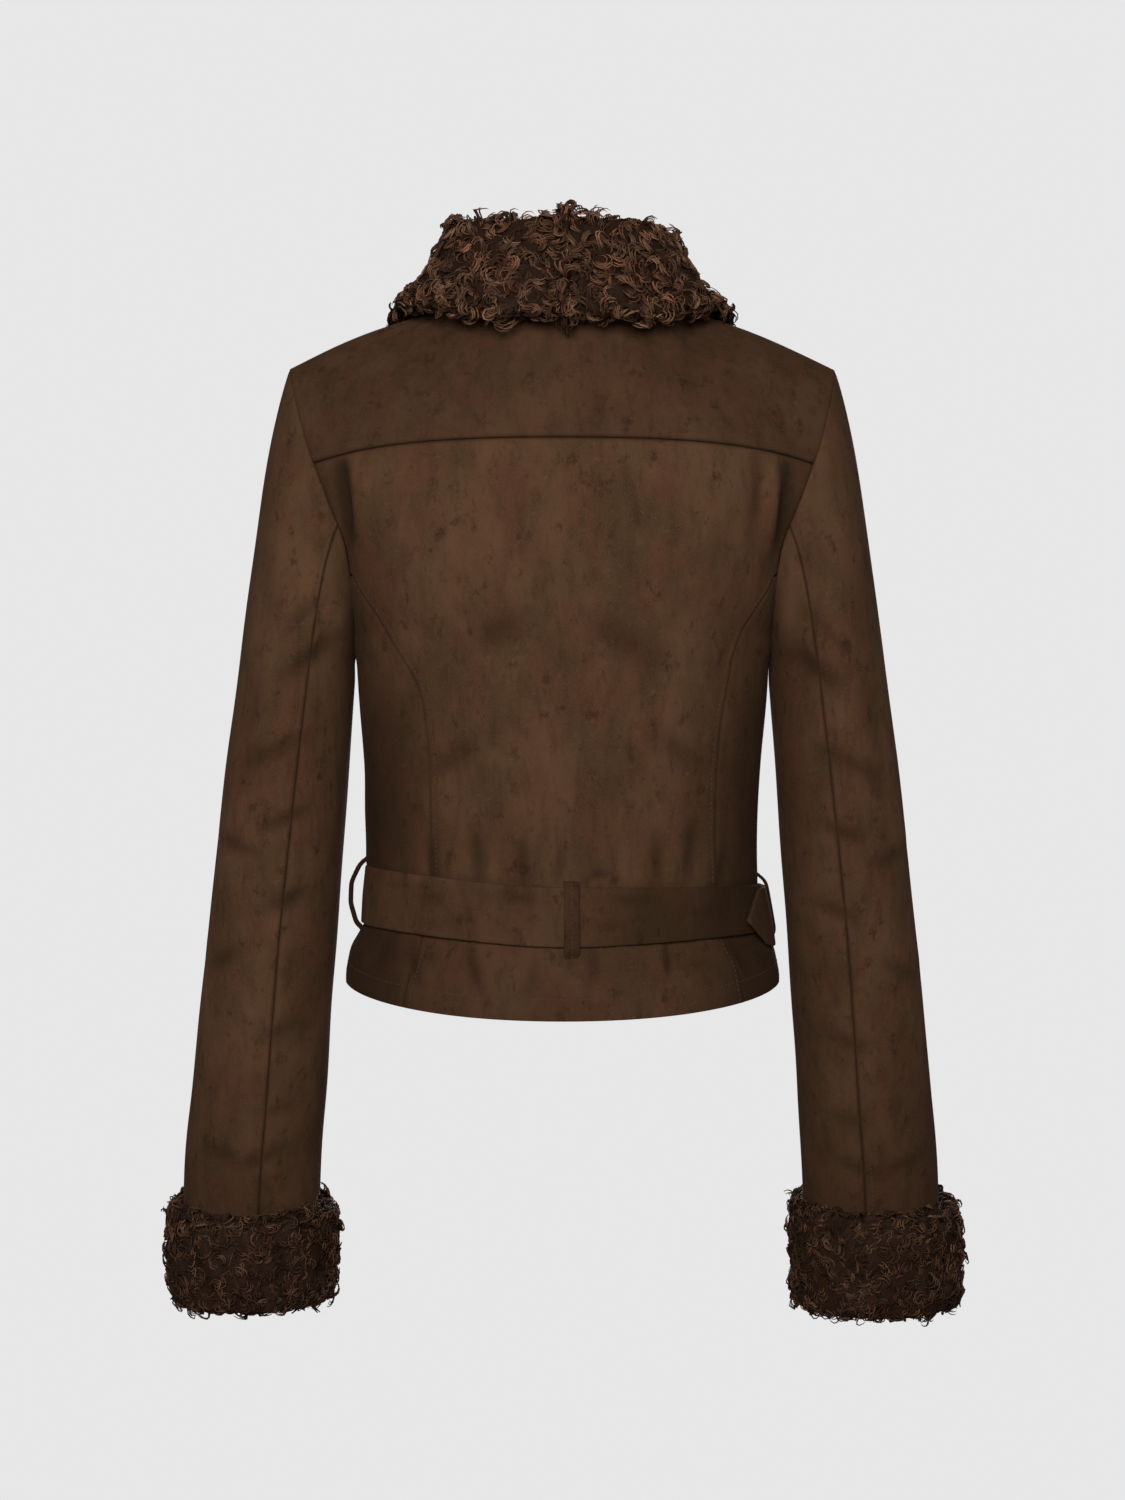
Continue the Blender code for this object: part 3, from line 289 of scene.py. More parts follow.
body = table(("name", "sideZ", "halfWidth", "backDepth", "backDrop", "frontDepth", "frontDrop", "seamX"), (
    ("hem", -0.473, 0.1532, 0.1130, 0.020, 0.1160, 0.011, 0.1170),
    ("flare", -0.450, 0.1492, 0.1085, 0.018, 0.1120, 0.009, 0.1120),
    ("under belt", -0.429, 0.1398, 0.0985, 0.016, 0.1020, 0.008, 0.1040),
    ("waist", -0.383, 0.1366, 0.0940, 0.012, 0.0980, 0.005, 0.0985),
    ("midriff", -0.321, 0.1399, 0.098, 0.008, 0.105, 0.003, 0.0985),
    ("ribs", -0.272, 0.1438, 0.105, 0.005, 0.116, 0.000, 0.1040),
    ("underarm", -0.230, 0.1464, 0.111, 0.004, 0.122, -0.004, 0.1200),
))
armholeColumns = ("name", "edgeX", "edgeY", "edgeZ", "depth", "centreZ", "turn")
armholes = {
    "back": table(armholeColumns, (
        ("low", 0.1462, 0.036, -0.208, 0.1145, -0.207, 80.0),
        ("middle", 0.1500, 0.056, -0.173, 0.1150, -0.172, 62.0),
        ("blade", 0.1615, 0.0605, -0.142, 0.1125, -0.136, 50.0),
        ("yoke seam", 0.1725, 0.0560, -0.1135, 0.1060, -0.100, 42.0),
    )),
    "front": table(armholeColumns, (
        ("low", 0.1490, 0.034, -0.205, 0.1235, -0.196, 78.0),
        ("middle", 0.1575, 0.046, -0.166, 0.1180, -0.158, 60.0),
        ("chest", 0.1680, 0.047, -0.130, 0.1080, -0.122, 50.0),
    )),
}
sleeve = table(("name", "z", "innerX", "outerX", "middleY", "halfDepth", "tilt"), (
    ("biceps", -0.265, 0.1466, 0.2296, 0.000, 0.0600, 0.0),
    ("above elbow", -0.322, 0.1506, 0.2370, 0.002, 0.0590, 0.0),
    ("elbow", -0.378, 0.1547, 0.2434, 0.001, 0.0570, 2.0),
    ("below elbow", -0.435, 0.1592, 0.2500, -0.005, 0.0540, 5.0),
    ("forearm", -0.493, 0.1640, 0.2572, -0.015, 0.0510, 8.0),
    ("lower arm", -0.552, 0.1684, 0.2643, -0.028, 0.0490, 10.0),
    ("above cuff", -0.6125, 0.1733, 0.2709, -0.041, 0.0480, 9.0),
    ("edge", -0.704, 0.1773, 0.2748, -0.056, 0.0470, 2.0),
))
underarmRow = len(body["sideZ"]) - 1
topRow = {face: underarmRow + len(armholes[face]["depth"]) for face in armholes}
cut = {
    "hemDip": 0.40, "roundness": 0.60, "princessTop": underarmRow + 1.5, "princessTip": 0.993,
    "princessUpper": [0.925, 1.04], "bodyTurn": 0.045, "neckPoint": (0.083, 0.004, 0.0),
    "shoulderTip": (0.1925, 0.0, -0.042), "shoulderBow": 0.0038, "neckShare": 0.36,
    "backNeck": (0.0, 0.075, -0.015), "frontNeck": (0.0, -0.066, -0.070), "topReach": 2.6,
    "overShoulder": 0.070, "overlap": 0.30, "overlapLift": 0.0020, "breakRow": underarmRow + 2.0,
    "breakPast": 0.30, "capStart": (0.31, -0.93), "backSeamRow": underarmRow + 2.5,
    "frontSeamRow": underarmRow + 1.5, "seamDrift": 6.0,
}
beltTable = table(("name", "top", "width"), (
    ("left side", -0.3920, 0.0405), ("back", -0.4040, 0.0405), ("right side", -0.4050, 0.0320),
    ("front", -0.3990, 0.0400),
))


def spline(values, place):
    values = np.asarray(values, float)
    last = len(values) - 1
    place = np.clip(np.asarray(place, float), 0, last)
    start = np.minimum(place.astype(int), last - 1)
    part = place - start
    here, after = values[start], values[start + 1]
    before = np.where(start > 0, values[np.maximum(start - 1, 0)], 2 * here - after)
    beyond = np.where(start + 2 <= last, values[np.minimum(start + 2, last)], 2 * after - here)
    bend = 2 * before - 5 * here + 4 * after - beyond + part * (3 * (here - after) + beyond - before)
    return here + 0.5 * part * (after - before + part * bend)


def smooth(value):
    value = np.clip(value, 0.0, 1.0)
    return value * value * (3 - 2 * value)


def rise(value, start, length):      # 0 up to start, 1 past start + length
    return smooth((value - start) / length)


def unit(values):      # made one long
    return values / np.maximum(np.linalg.norm(values, axis=-1, keepdims=True), 1e-12)


def runLength(line):      # how far along the line each of its points is
    return np.concatenate([[0.0], np.cumsum(np.linalg.norm(np.diff(line, axis=0), axis=1))])


def hermite(start, end, leave, arrive, part):
    square, cube = part * part, part * part * part
    return (start * (2 * cube - 3 * square + 1) + leave * (cube - 2 * square + part)
            + end * (3 * square - 2 * cube) + arrive * (cube - square))


def points(x, y, z):
    return np.stack(np.broadcast_arrays(x, y, z), axis=-1)


def edgePoints(face, row):
    rows, side, low = armholes[face], 1.0 if face == "back" else -1.0, row <= underarmRow
    place = row - underarmRow
    x = np.where(low, spline(body["halfWidth"], row), spline([body["halfWidth"][-1]] + rows["edgeX"], place))
    y = np.where(low, 0.0, side * spline([0.0] + rows["edgeY"], place))
    z = np.where(low, spline(body["sideZ"], row), spline([body["sideZ"][-1]] + rows["edgeZ"], place))
    return points(x, y, z)


def sectionPoints(face, across, row):
    across, row = np.broadcast_arrays(np.asarray(across, float), np.asarray(row, float))
    rows, side = armholes[face], 1.0 if face == "back" else -1.0
    edge = edgePoints(face, row)
    edgeX, edgeY, edgeZ = edge[..., 0], np.abs(edge[..., 1]), edge[..., 2]
    depth = spline(body[face + "Depth"] + rows["depth"], row)
    heights = [z - drop for z, drop in zip(body["sideZ"], body[face + "Drop"])] + rows["centreZ"]
    height = spline(heights, row)
    turn = np.radians(spline([90.0] * len(body["sideZ"]) + rows["turn"], row))
    climb = cut["roundness"] * (depth - edgeY)
    amount = np.abs(across)
    rest = 1 - amount
    second, third = 3 * rest * rest * amount, 3 * rest * amount * amount
    x = cut["roundness"] * edgeX * second + (edgeX - climb / np.tan(turn)) * third + edgeX * amount ** 3
    y = depth * (rest ** 3 + second) + (edgeY + climb) * third + edgeY * amount ** 3
    share = np.clip((y - edgeY) / (depth - edgeY), 0.0, 1.0)
    share = share ** (1 + cut["hemDip"] * (1 - smooth(row / underarmRow)))
    return points(np.where(across < 0, -x, x), side * y, height * share + edgeZ * (1 - share))


def topPoints(face, across):
    neck, tip, middle = (np.array(cut[name]) for name in ("neckPoint", "shoulderTip", face + "Neck"))
    part = np.clip((across - cut["neckShare"]) / (1 - cut["neckShare"]), 0.0, 1.0)[..., None]
    seam = neck * (1 - part) + tip * part + np.array((0, 0, cut["shoulderBow"])) * np.sin(math.pi * part)
    angle = math.pi / 2 * np.minimum(across / cut["neckShare"], 1.0)
    y, z = (neck[axis] + (middle[axis] - neck[axis]) * np.cos(angle) for axis in (1, 2))
    line = points(neck[0] * np.sin(angle), y, z)
    return np.where((across >= cut["neckShare"])[..., None], seam, line)


def sheetPoints(face, across, row):
    across, row = np.broadcast_arrays(np.asarray(across, float), np.asarray(row, float))
    last = topRow[face]
    low = sectionPoints(face, across, np.minimum(row, last))
    amount = np.abs(across)
    step = 0.1
    start = sectionPoints(face, amount, last)
    leave = (start - sectionPoints(face, amount, last - step)) * (cut["topReach"] / step)
    over = smooth(amount / cut["neckShare"])
    forward = -1.0 if face == "back" else 1.0
    arrive = points(0.0, forward * (0.5 + 0.5 * over), 0.86 - 0.76 * over) * cut["overShoulder"]
    high = hermite(start, topPoints(face, amount), leave, arrive, (row - last)[..., None])
    high[..., 0] = np.where(across < 0, -high[..., 0], high[..., 0])
    return np.where((row <= last)[..., None], low, high)


def acrossAt(face, share, row):      # place across a section where x is a share of its half width
    target = share * edgePoints(face, row)[..., 0]
    low, high = np.zeros_like(target), np.ones_like(target)
    for _ in range(30):
        middle = 0.5 * (low + high)
        less = sectionPoints(face, middle, row)[..., 0] < target
        low, high = np.where(less, middle, low), np.where(less, high, middle)
    return 0.5 * (low + high)


def princessPlace(row, side):
    shares = [x / half for x, half in zip(body["seamX"], body["halfWidth"])] + cut["princessUpper"]
    turned = side * cut["bodyTurn"] * (1 - smooth(row - underarmRow + 1.0))
    share = np.minimum(spline(shares, row) - turned, cut["princessTip"])
    return acrossAt("back", np.where(row >= cut["princessTop"], cut["princessTip"], share), row)


def frontStart(row):
    past = 1 - smooth((row - underarmRow) / (cut["breakRow"] - underarmRow)) * (1 - cut["breakPast"])
    low = -cut["breakPast"] * cut["overlap"]
    part = np.clip((row - cut["breakRow"]) / (topRow["front"] + 1.0 - cut["breakRow"]), 0.0, 1.0)
    neckEdge = low + (cut["neckShare"] - low) * part ** 0.9
    return np.where(row <= cut["breakRow"], -cut["overlap"] * past, neckEdge)


def frontPoints(across, row, lift):
    grid = sheetPoints("front", across, row)
    ease = 1 - smooth((across - cut["overlap"] - 0.02) / 0.25)
    grid[..., 1] -= lift * ease * (1 - smooth(row - topRow["front"]))
    return grid


def evenRows(face, across, start, end, spacing):      # rows that lie evenly up the cloth
    rows = np.linspace(start, end, 200)
    length = runLength(sheetPoints(face, across, rows))
    return np.interp(edgedSteps(length[-1], spacing), length, rows)


def edgedSteps(length, spacing):      # even steps with a few close ones at both ends
    close = [0.0, 0.0007, 0.0016, 0.0028, 0.0045]
    count = max(int(round((length - 2 * close[-1]) / spacing)), 1)
    middle = np.linspace(close[-1], length - close[-1], count + 1)
    return np.concatenate([close[:-1], middle, [length - value for value in reversed(close[:-1])]])


def armholeLoop():      # rows of its points up the back and the front, and their angles round the sleeve
    rows = {}
    for face, overTop in (("back", 6), ("front", 7)):      # with so many points over the shoulder
        upright = np.arange(underarmRow, topRow[face], 0.5)
        rows[face] = np.concatenate([upright, np.linspace(0, 1, overTop) + topRow[face]])
    backRows, frontRows = rows["back"], rows["front"][::-1]
    top = len(backRows) - 1
    line = np.concatenate([sheetPoints("back", 1.0, backRows), sheetPoints("front", 1.0, frontRows[1:])])
    length = runLength(line)
    angles = np.where(np.arange(len(line)) <= top, 180.0 * length / length[top],
                      180.0 + 180.0 * (length - length[top]) / (length[-1] - length[top]))
    return top, backRows, frontRows, angles


def ringPoints(angle, station):
    height, inner, outer, middle, half, tilt = (
        spline(sleeve[name], station) for name in ("z", "innerX", "outerX", "middleY", "halfDepth", "tilt"))
    drift = cut["seamDrift"] * np.minimum(station / 3.0, 1.0)
    turn = np.radians(angle + drift * np.sin(np.radians(angle)))
    back = half * np.sin(turn)
    return points(0.5 * (outer + inner) - 0.5 * (outer - inner) * np.cos(turn), middle + back,
                  height - np.tan(np.radians(tilt)) * back)


def sleeveGrid(places, down, loop):      # places round the armhole; down: 0 at it, 1 at the first ring
    top, backRows, frontRows, angles = loop
    count = len(angles) - 1
    around = np.mod(places, count)
    onBack = around <= top
    start = np.where(onBack[:, None], sheetPoints("back", 1.0, np.interp(around, range(top + 1), backRows)),
                     sheetPoints("front", 1.0, np.interp(around, np.arange(top, count + 1), frontRows)))
    angle = np.interp(around, range(count + 1), angles)
    end = ringPoints(angle, 0.0)
    aim = unit(ringPoints(angle, 0.5) - end)
    length = np.linalg.norm(end - start, axis=1, keepdims=True)
    side = np.sin(np.radians(angle))
    out = cut["capStart"][0] * (0.35 + 0.65 * np.abs(np.sin(np.radians(angle / 2)))) + 0.22 * np.abs(side)
    leave = unit(points(out, 0.10 * side, cut["capStart"][1])) * 0.68 * length
    rows = []
    for value in down:
        if value < 1.0:
            rows.append(hermite(start, end, leave, aim * length, value))
        else:
            rows.append(ringPoints(angle, value - 1.0))
    return np.array(rows)


creaseColumns = ("face", "x1", "z1", "x2", "z2", "width", "depth")
bodyCreases = (      # millimetres; a depth below zero is a ridge
    ("back", 143, -106, 140, -168, 5.0, -1.5), ("back", 153, -118, 147, -168, 5.0, 1.8),
    ("back", -143, -106, -140, -172, 5.0, -1.5), ("back", -153, -118, -147, -172, 5.0, 1.8),
    ("back", -14, -400, -24, -394, 2.6, 1.3), ("back", -24, -394, -39, -403, 2.6, 1.3),
    ("back", 92, -372, 90, -402, 4.0, 1.3), ("back", 62, -366, 58, -402, 5.0, 1.1),
    ("back", 30, -376, 28, -404, 4.5, 1.0), ("back", 4, -381, 6, -402, 4.0, 0.7),
    ("back", -62, -370, -64, -402, 5.0, 1.0), ("back", -88, -362, -84, -402, 5.0, 1.3),
    ("back", -112, -378, -106, -404, 4.0, 1.0),
    ("back", 105, -444, 101, -470, 4.0, 1.3), ("back", 66, -444, 58, -474, 4.5, 1.2),
    ("back", -18, -446, -20, -464, 3.6, 0.9), ("back", -69, -444, -70, -462, 2.6, 1.7),
    ("back", -78, -449, -96, -451, 3.0, -1.2), ("back", -112, -440, -126, -462, 4.5, 1.3),
    ("back", 118, -438, 132, -462, 5.0, 1.0), ("back", 20, -452, 26, -478, 6.0, 0.7),
    ("back", 62, -240, 30, -222, 12.0, 0.9), ("back", -58, -250, -22, -226, 12.0, 0.8),
    ("back", 96, -330, 60, -306, 9.0, 0.8), ("back", -100, -322, -62, -300, 9.0, 0.8),
    ("front", 92, -366, 88, -398, 5.0, 1.2), ("front", 55, -360, 52, -396, 5.0, 1.1),
    ("front", -48, -368, -50, -398, 5.0, 1.0), ("front", -86, -362, -84, -400, 5.0, 1.2),
    ("front", 98, -440, 104, -466, 4.5, 1.2), ("front", 50, -442, 54, -470, 5.0, 1.0),
    ("front", -58, -442, -62, -470, 5.0, 1.0), ("front", -104, -438, -110, -462, 4.5, 1.2),
    ("front", 140, -112, 132, -176, 8.0, 1.6), ("front", -140, -112, -132, -176, 8.0, 1.6),
    ("front", 96, -300, 60, -276, 10.0, 0.9), ("front", -94, -306, -58, -282, 10.0, 0.9),
)
sleeveCreases = (      # the same, for the left sleeve; the right one has them a little lower
    ("back", 176, -300, 214, -318, 7.0, 1.0), ("back", 178, -352, 206, -364, 6.0, 1.2),
    ("back", 214, -382, 240, -372, 6.0, 1.0), ("back", 176, -408, 204, -420, 6.0, 1.1),
    ("back", 226, -450, 250, -462, 6.0, 0.9), ("back", 182, -500, 212, -512, 7.0, 0.9),
    ("back", 196, -592, 224, -604, 4.0, 1.0), ("back", 226, -600, 250, -592, 5.0, 1.0),
    ("back", 188, -560, 214, -566, 6.0, 0.7), ("back", 158, -232, 190, -258, 8.0, 1.4),
    ("back", 166, -206, 196, -236, 7.0, 1.1), ("back", 212, -240, 218, -330, 9.0, 0.7),
    ("front", 170, -372, 210, -384, 7.0, 1.5), ("front", 176, -396, 222, -404, 7.0, 1.4),
    ("front", 164, -344, 196, -352, 7.0, 1.1), ("front", 184, -430, 226, -436, 7.0, 1.1),
    ("front", 160, -240, 196, -262, 8.0, 1.3), ("front", 196, -520, 236, -530, 8.0, 0.9),
    ("front", 200, -588, 240, -598, 6.0, 0.9),
)


def creaseField(place, normal, creases, side=1.0, shift=0.0):
    x, z = place[..., 0] * 1000.0 * side, place[..., 2] * 1000.0 - shift
    total = np.zeros(x.shape)
    for face, x1, z1, x2, z2, width, depth in creases:
        facing = smooth(normal[..., 1] * (2.2 if face == "back" else -2.2))
        dx, dz = x2 - x1, z2 - z1
        length = math.hypot(dx, dz)
        part = np.clip(((x - x1) * dx + (z - z1) * dz) / length ** 2, 0.0, 1.0)
        offX, offZ = x - x1 - part * dx, z - z1 - part * dz
        far = np.hypot(offX, offZ)
        aside = ((x - x1) * -dz + (z - z1) * dx) / length
        taper = 1 - 0.55 * (2 * part - 1) ** 2
        ridge = 0.55 * np.exp(-((aside - 1.9 * width) / (1.3 * width)) ** 2)      # the swell beside a crease
        ridge *= np.exp(-((far - np.abs(aside)) / width) ** 2)
        total -= depth * (np.exp(-(far / width) ** 2) - ridge) * taper * facing
    return total * 0.001


def roundBelt(angle, name):      # a measure of the belt at an angle: 0 the left side, a quarter turn the back
    values = np.array(beltTable[name])
    place = np.mod(np.degrees(angle), 360.0) / 90.0
    start = np.floor(place).astype(int) % 4
    part = smooth(place - np.floor(place))
    return values[start] * (1 - part) + values[(start + 1) % 4] * part


def underBelt(place):      # 1 where the belt presses the cloth in, 0 away from it
    angle = np.arctan2(place[..., 1], place[..., 0])
    top = roundBelt(angle, "top")
    low = top - roundBelt(angle, "width")
    return rise(top + 0.0012, place[..., 2], 0.0030) * rise(place[..., 2], low - 0.0028, 0.0040)


def softWaves(place, scale, seed):      # slow uneven swell of the cloth
    picker = np.random.default_rng(seed)
    total = np.zeros(place.shape[:-1])
    for _ in range(9):
        aim = unit(picker.normal(size=3) * np.array((1.0, 1.0, 0.6)))
        total += np.sin(place @ aim * (scale * picker.uniform(0.6, 1.6)) + picker.uniform(0, 6.28))
    return total / 4.5


def gridNormals(grid, facing):      # facing: roughly which way the outer face looks
    down, along = np.gradient(grid, axis=0), np.gradient(grid, axis=1)
    normal = unit(np.cross(down, along))
    middle = normal[grid.shape[0] // 2, grid.shape[1] // 2]
    return normal if middle @ np.array(facing) > 0 else -normal


sewing = {
    "wall": 0.0018, "swell": 0.0006, "swellScale": 55.0, "foldStrength": 2.0, "beltPress": 0.0020,
    "tuck": 0.0009, "rollWidth": 0.0022, "armholeRoll": 0.0002, "dimple": 0.0003, "puff": 0.00032,
    "pucker": 0.00028, "pitch": 0.0034, "stitch": 0.0024, "threadRadius": 0.00022, "threadSides": 5,
    "threadLift": 0.00008,
}
shading = {      # painted shade, how much darker the suede is drawn: at the sides, low down, in the armhole folds, on the inner sleeves and at the armpits; on the yoke it also stands for its nap
    "yoke": 0.31, "left": 0.80, "right": 0.72, "belowBelt": 0.14, "aboveBelt": 0.20, "armholeFold": 0.46,
    "rightSleeve": 0.10, "lowSleeve": 0.50, "innerSleeve": 0.14, "front": 0.20, "armpit": 0.50, "inside": 0.6,
}
closing = {"low": -0.2520, "high": -0.1800, "sleeve": 0.0020, "body": 0.0016}      # sleeve and body meet here
waistEase = {"low": -0.4050, "high": -0.3200, "out": 0.0018}      # the left side stands out above the belt
stitchLines = {}
cutSizes = {}


def nearArmpit(z):      # 1 at the heights where the sleeve lies against the body
    return rise(z, closing["low"], 0.014) * rise(closing["high"], z, 0.020)


# painted shade on a sleeve: darker low down, on its inner side and at the armpit; the right sleeve a little
# darker all over
def sleeveShade(name, x, z):
    inner = rise(0.205 - 0.06 * (z + 0.30), x, 0.030) * rise(-0.22, z, 0.06) * rise(z, -0.58, 0.10)
    shade = shading["lowSleeve"] * rise(-0.48, z, 0.18) + shading["innerSleeve"] * inner
    shade += shading["armpit"] * nearArmpit(z) * rise(0.156, x, 0.010)
    return shade + (shading["rightSleeve"] if "right" in name else 0.0)


def panelShade(name, grid):      # painted shade: how much darker the suede is on a panel and down it
    x, y, z = np.abs(grid[..., 0]), grid[..., 1], grid[..., 2]
    if "sleeve" in name:
        return sleeveShade(name, x, z)
    if "front" in name:
        return np.full(x.shape, shading["front"])
    shade = shading["belowBelt"] * rise(-0.436, z, 0.012) + shading["aboveBelt"] * rise(-0.290, z, 0.080)
    shade += shading["yoke"] if "yoke" in name else 0.0
    toSide = rise(x, 0.076, 0.058) * (0.30 + 0.70 * rise(-0.235, z, 0.07)) * rise(-0.15, z, 0.06)
    shade += toSide * np.where(grid[..., 0] > 0, shading["left"], shading["right"])
    fold = rise(x, 0.1415, 0.006) * rise(z, -0.185, 0.030) * rise(-0.106, z, 0.012)
    return shade + shading["armholeFold"] * fold * (y > 0)


def edgeDistance(grid, edge):      # how far each point is from one edge of its grid
    axis = 0 if edge in ("bottom", "top") else 1
    gaps = np.linalg.norm(np.diff(grid, axis=axis), axis=2)
    far = np.insert(np.cumsum(gaps, axis=axis), 0, 0.0, axis=axis)
    return far if edge in ("bottom", "first") else far.take([-1], axis=axis) - far


def lineAtDistance(grid, normal, edge, distance):      # points and normals along a line beside an edge
    far = edgeDistance(grid, edge)
    if edge in ("bottom", "top"):
        far, grid, normal = far.T, grid.transpose(1, 0, 2), normal.transpose(1, 0, 2)
    line, up = [], []
    for distances, places, ups in zip(far, grid, normal):
        order = np.argsort(distances)
        if distances.max() < distance:
            continue
        line.append([np.interp(distance, distances[order], places[order, axis]) for axis in range(3)])
        up.append([np.interp(distance, distances[order], ups[order, axis]) for axis in range(3)])
    return np.array(line), np.array(up)


def addMesh(name, verts, faces, material, marks=None):      # marks: values on the points for the material
    mesh = bpy.data.meshes.new(name)
    mesh.from_pydata(np.asarray(verts).tolist(), [], [list(face) for face in faces])
    mesh.materials.append(material)
    mesh.shade_smooth()
    for label, values in (marks or {}).items():
        mesh.attributes.new(label, "FLOAT", "POINT").data.foreach_set("value", np.asarray(values, np.float32))
    piece = bpy.data.objects.new(name, mesh)
    scene.collection.objects.link(piece)
    return piece


def gridFaces(rows, places):
    index = np.arange(rows * places).reshape(rows, places)
    quads = np.stack([index[:-1, :-1], index[:-1, 1:], index[1:, 1:], index[1:, :-1]], axis=-1)
    return index, quads.reshape(-1, 4)


def shellFaces(rows, places):      # the outer face, the inner face and the rim
    index, quads = gridFaces(rows, places)
    count = rows * places
    rim = np.concatenate([index[0, :-1], index[:-1, -1], index[-1, :0:-1], index[:0:-1, 0]])
    after = np.roll(rim, -1)
    sides = np.stack([after, rim, rim + count, after + count], axis=-1)
    return np.concatenate([quads, quads[:, ::-1] + count, sides])


def clothRelief(name, grid, normal, folds, seams):      # how far the cloth stands off its panel's form
    relief = folds + softWaves(grid, sewing["swellScale"], 11) * sewing["swell"]
    for edge in seams:
        relief = relief * smooth(edgeDistance(grid, edge) / 0.012 + 0.35)
    towards = rise(np.abs(normal[..., 0]), 0.5, 0.4) * nearArmpit(grid[..., 2])
    if "sleeve" in name:
        return relief + closing["sleeve"] * towards * (np.abs(grid[..., 0]) < 0.17)
    eased = rise(grid[..., 2], waistEase["low"], 0.012) * rise(waistEase["high"], grid[..., 2], 0.040)
    eased *= rise(grid[..., 0], 0.110, 0.020)
    relief = relief + closing["body"] * towards + waistEase["out"] * eased
    return relief - sewing["beltPress"] * underBelt(grid)


def sewEdges(name, grid, relief, mark, seams, stitched, held):      # rolled edges and puckered topstitching, with painted shade along the stitch dimples and seam lines
    ripple = softWaves(grid, 520.0, len(name)) * sewing["pucker"]
    for edge in ("bottom", "top", "first", "last"):
        far, stitch = edgeDistance(grid, edge), stitched.get(edge, 0.0)
        upright = edge in ("first", "last")
        part = held if upright else np.ones(relief.shape)
        deep = seams.get(edge, 0.0005)
        if upright and edge in seams:
            deep = deep * held + sewing["armholeRoll"] * (1 - held)
        relief = relief - deep * np.exp(-(far / sewing["rollWidth"]) ** 2)
        if stitch:
            relief += part * sewing["puff"] * np.exp(-((far - stitch * 0.5) / (stitch * 0.34)) ** 2)
            relief -= part * sewing["dimple"] * np.exp(-((far - stitch) / 0.0012) ** 2)
            relief += part * ripple * np.exp(-((far - stitch * 0.7) / 0.007) ** 2)
            mark = np.maximum(mark, part * 0.28 * np.exp(-((far - stitch) / 0.0011) ** 2))
        if edge in seams:
            faint = 0.45 if upright and "back" in name else 1.0
            mark = np.maximum(mark, faint * np.exp(-(far / 0.0013) ** 2))
    return relief, mark


def cutSize(grid):      # widest, longest and area, along the cloth
    along, down = np.diff(grid, axis=1), np.diff(grid, axis=0)
    wide = np.linalg.norm(along, axis=2).sum(axis=1).max()
    tall = np.linalg.norm(down, axis=2).sum(axis=0).max()
    size = np.linalg.norm(np.cross(down[:, :-1], along[:-1]), axis=2).sum()
    return round(float(wide), 3), round(float(tall), 3), round(float(size), 4)


def addShell(name, grid, facing, seams, creases, side=1.0, shift=0.0, stitched=None, limit=None):
    # seams: edge -> how deep the sewn edge rolls in; stitched: edge -> distance of its topstitching
    # limit: 1 on the rows where the upright edges are seams, 0 where they lie on the armhole
    stitched = stitched or {}
    limit = np.ones(len(grid)) if limit is None else limit
    normal = gridNormals(grid, facing)
    if np.cross(grid[1, 0] - grid[0, 0], grid[0, 1] - grid[0, 0]) @ normal[0, 0] > 0:
        swap = {"first": "last", "last": "first"}
        grid, normal = grid[:, ::-1], normal[:, ::-1]
        seams = {swap.get(edge, edge): value for edge, value in seams.items()}
        stitched = {swap.get(edge, edge): value for edge, value in stitched.items()}
    folds = creaseField(grid, normal, creases, side, shift) * sewing["foldStrength"]
    relief = clothRelief(name, grid, normal, folds, seams)
    held = limit[:, None] * np.ones(relief.shape)
    # the crease mark starts as painted shade in the folds
    relief, mark = sewEdges(name, grid, relief, np.clip(-folds / 0.0026, 0.0, 1.0), seams, stitched, held)
    outer = grid + normal * relief[..., None]
    inner = grid + normal * (np.minimum(relief, 0.0) - sewing["wall"])[..., None]
    # painted shade: the crease mark darkens folds, seams, stitches and the whole inner face, the shade mark
    # whole panels where light falls off
    marks = {"creaseShade": np.concatenate([mark.ravel(), np.full(mark.size, shading["inside"])]),
             "shade": np.tile(np.clip(panelShade(name, grid), 0.0, 1.0).ravel(), 2)}
    verts = np.concatenate([outer.reshape(-1, 3), inner.reshape(-1, 3)])
    piece = addMesh(name + "_suede", verts, shellFaces(*grid.shape[:2]), suedeOuter, marks)
    cutSizes[name] = cutSize(grid)
    for edge, stitch in stitched.items():
        line, up = lineAtDistance(outer, normal, edge, stitch)
        if edge in ("first", "last"):
            line, up = line[:int(limit.sum())], up[:int(limit.sum())]
        stitchLines.setdefault(name, []).append((line, up))
    return piece, outer


def capsules(lines):      # one short thread after another along each line
    verts, faces, sides = [], [], sewing["threadSides"]
    turns = 2 * math.pi * np.arange(sides) / sides
    for line, up in lines:
        length = runLength(line)
        for start in np.arange(0.001, length[-1] - sewing["stitch"], sewing["pitch"]):
            ends = []
            for where in (start, start + sewing["stitch"]):
                spot = np.array([np.interp(where, length, line[:, axis]) for axis in range(3)])
                lift = np.array([np.interp(where, length, up[:, axis]) for axis in range(3)])
                ends.append(spot + lift * sewing["threadLift"])
            lift = unit(lift)
            side = np.cross(unit(ends[1] - ends[0]), lift)
            base = len(verts)
            verts.append(ends[0] - lift * 0.0002)
            for part in (0.18, 0.82):
                middle = ends[0] * (1 - part) + ends[1] * part
                verts += [middle + (side * math.cos(turn) + lift * math.sin(turn)) * sewing["threadRadius"]
                          for turn in turns]
            verts.append(ends[1] - lift * 0.0002)
            first, second, last = base + 1, base + 1 + sides, base + 1 + 2 * sides
            for corner in range(sides):
                after = (corner + 1) % sides
                faces.append((base, first + after, first + corner))
                faces.append((first + corner, first + after, second + after, second + corner))
                faces.append((last, second + corner, second + after))
    return verts, faces


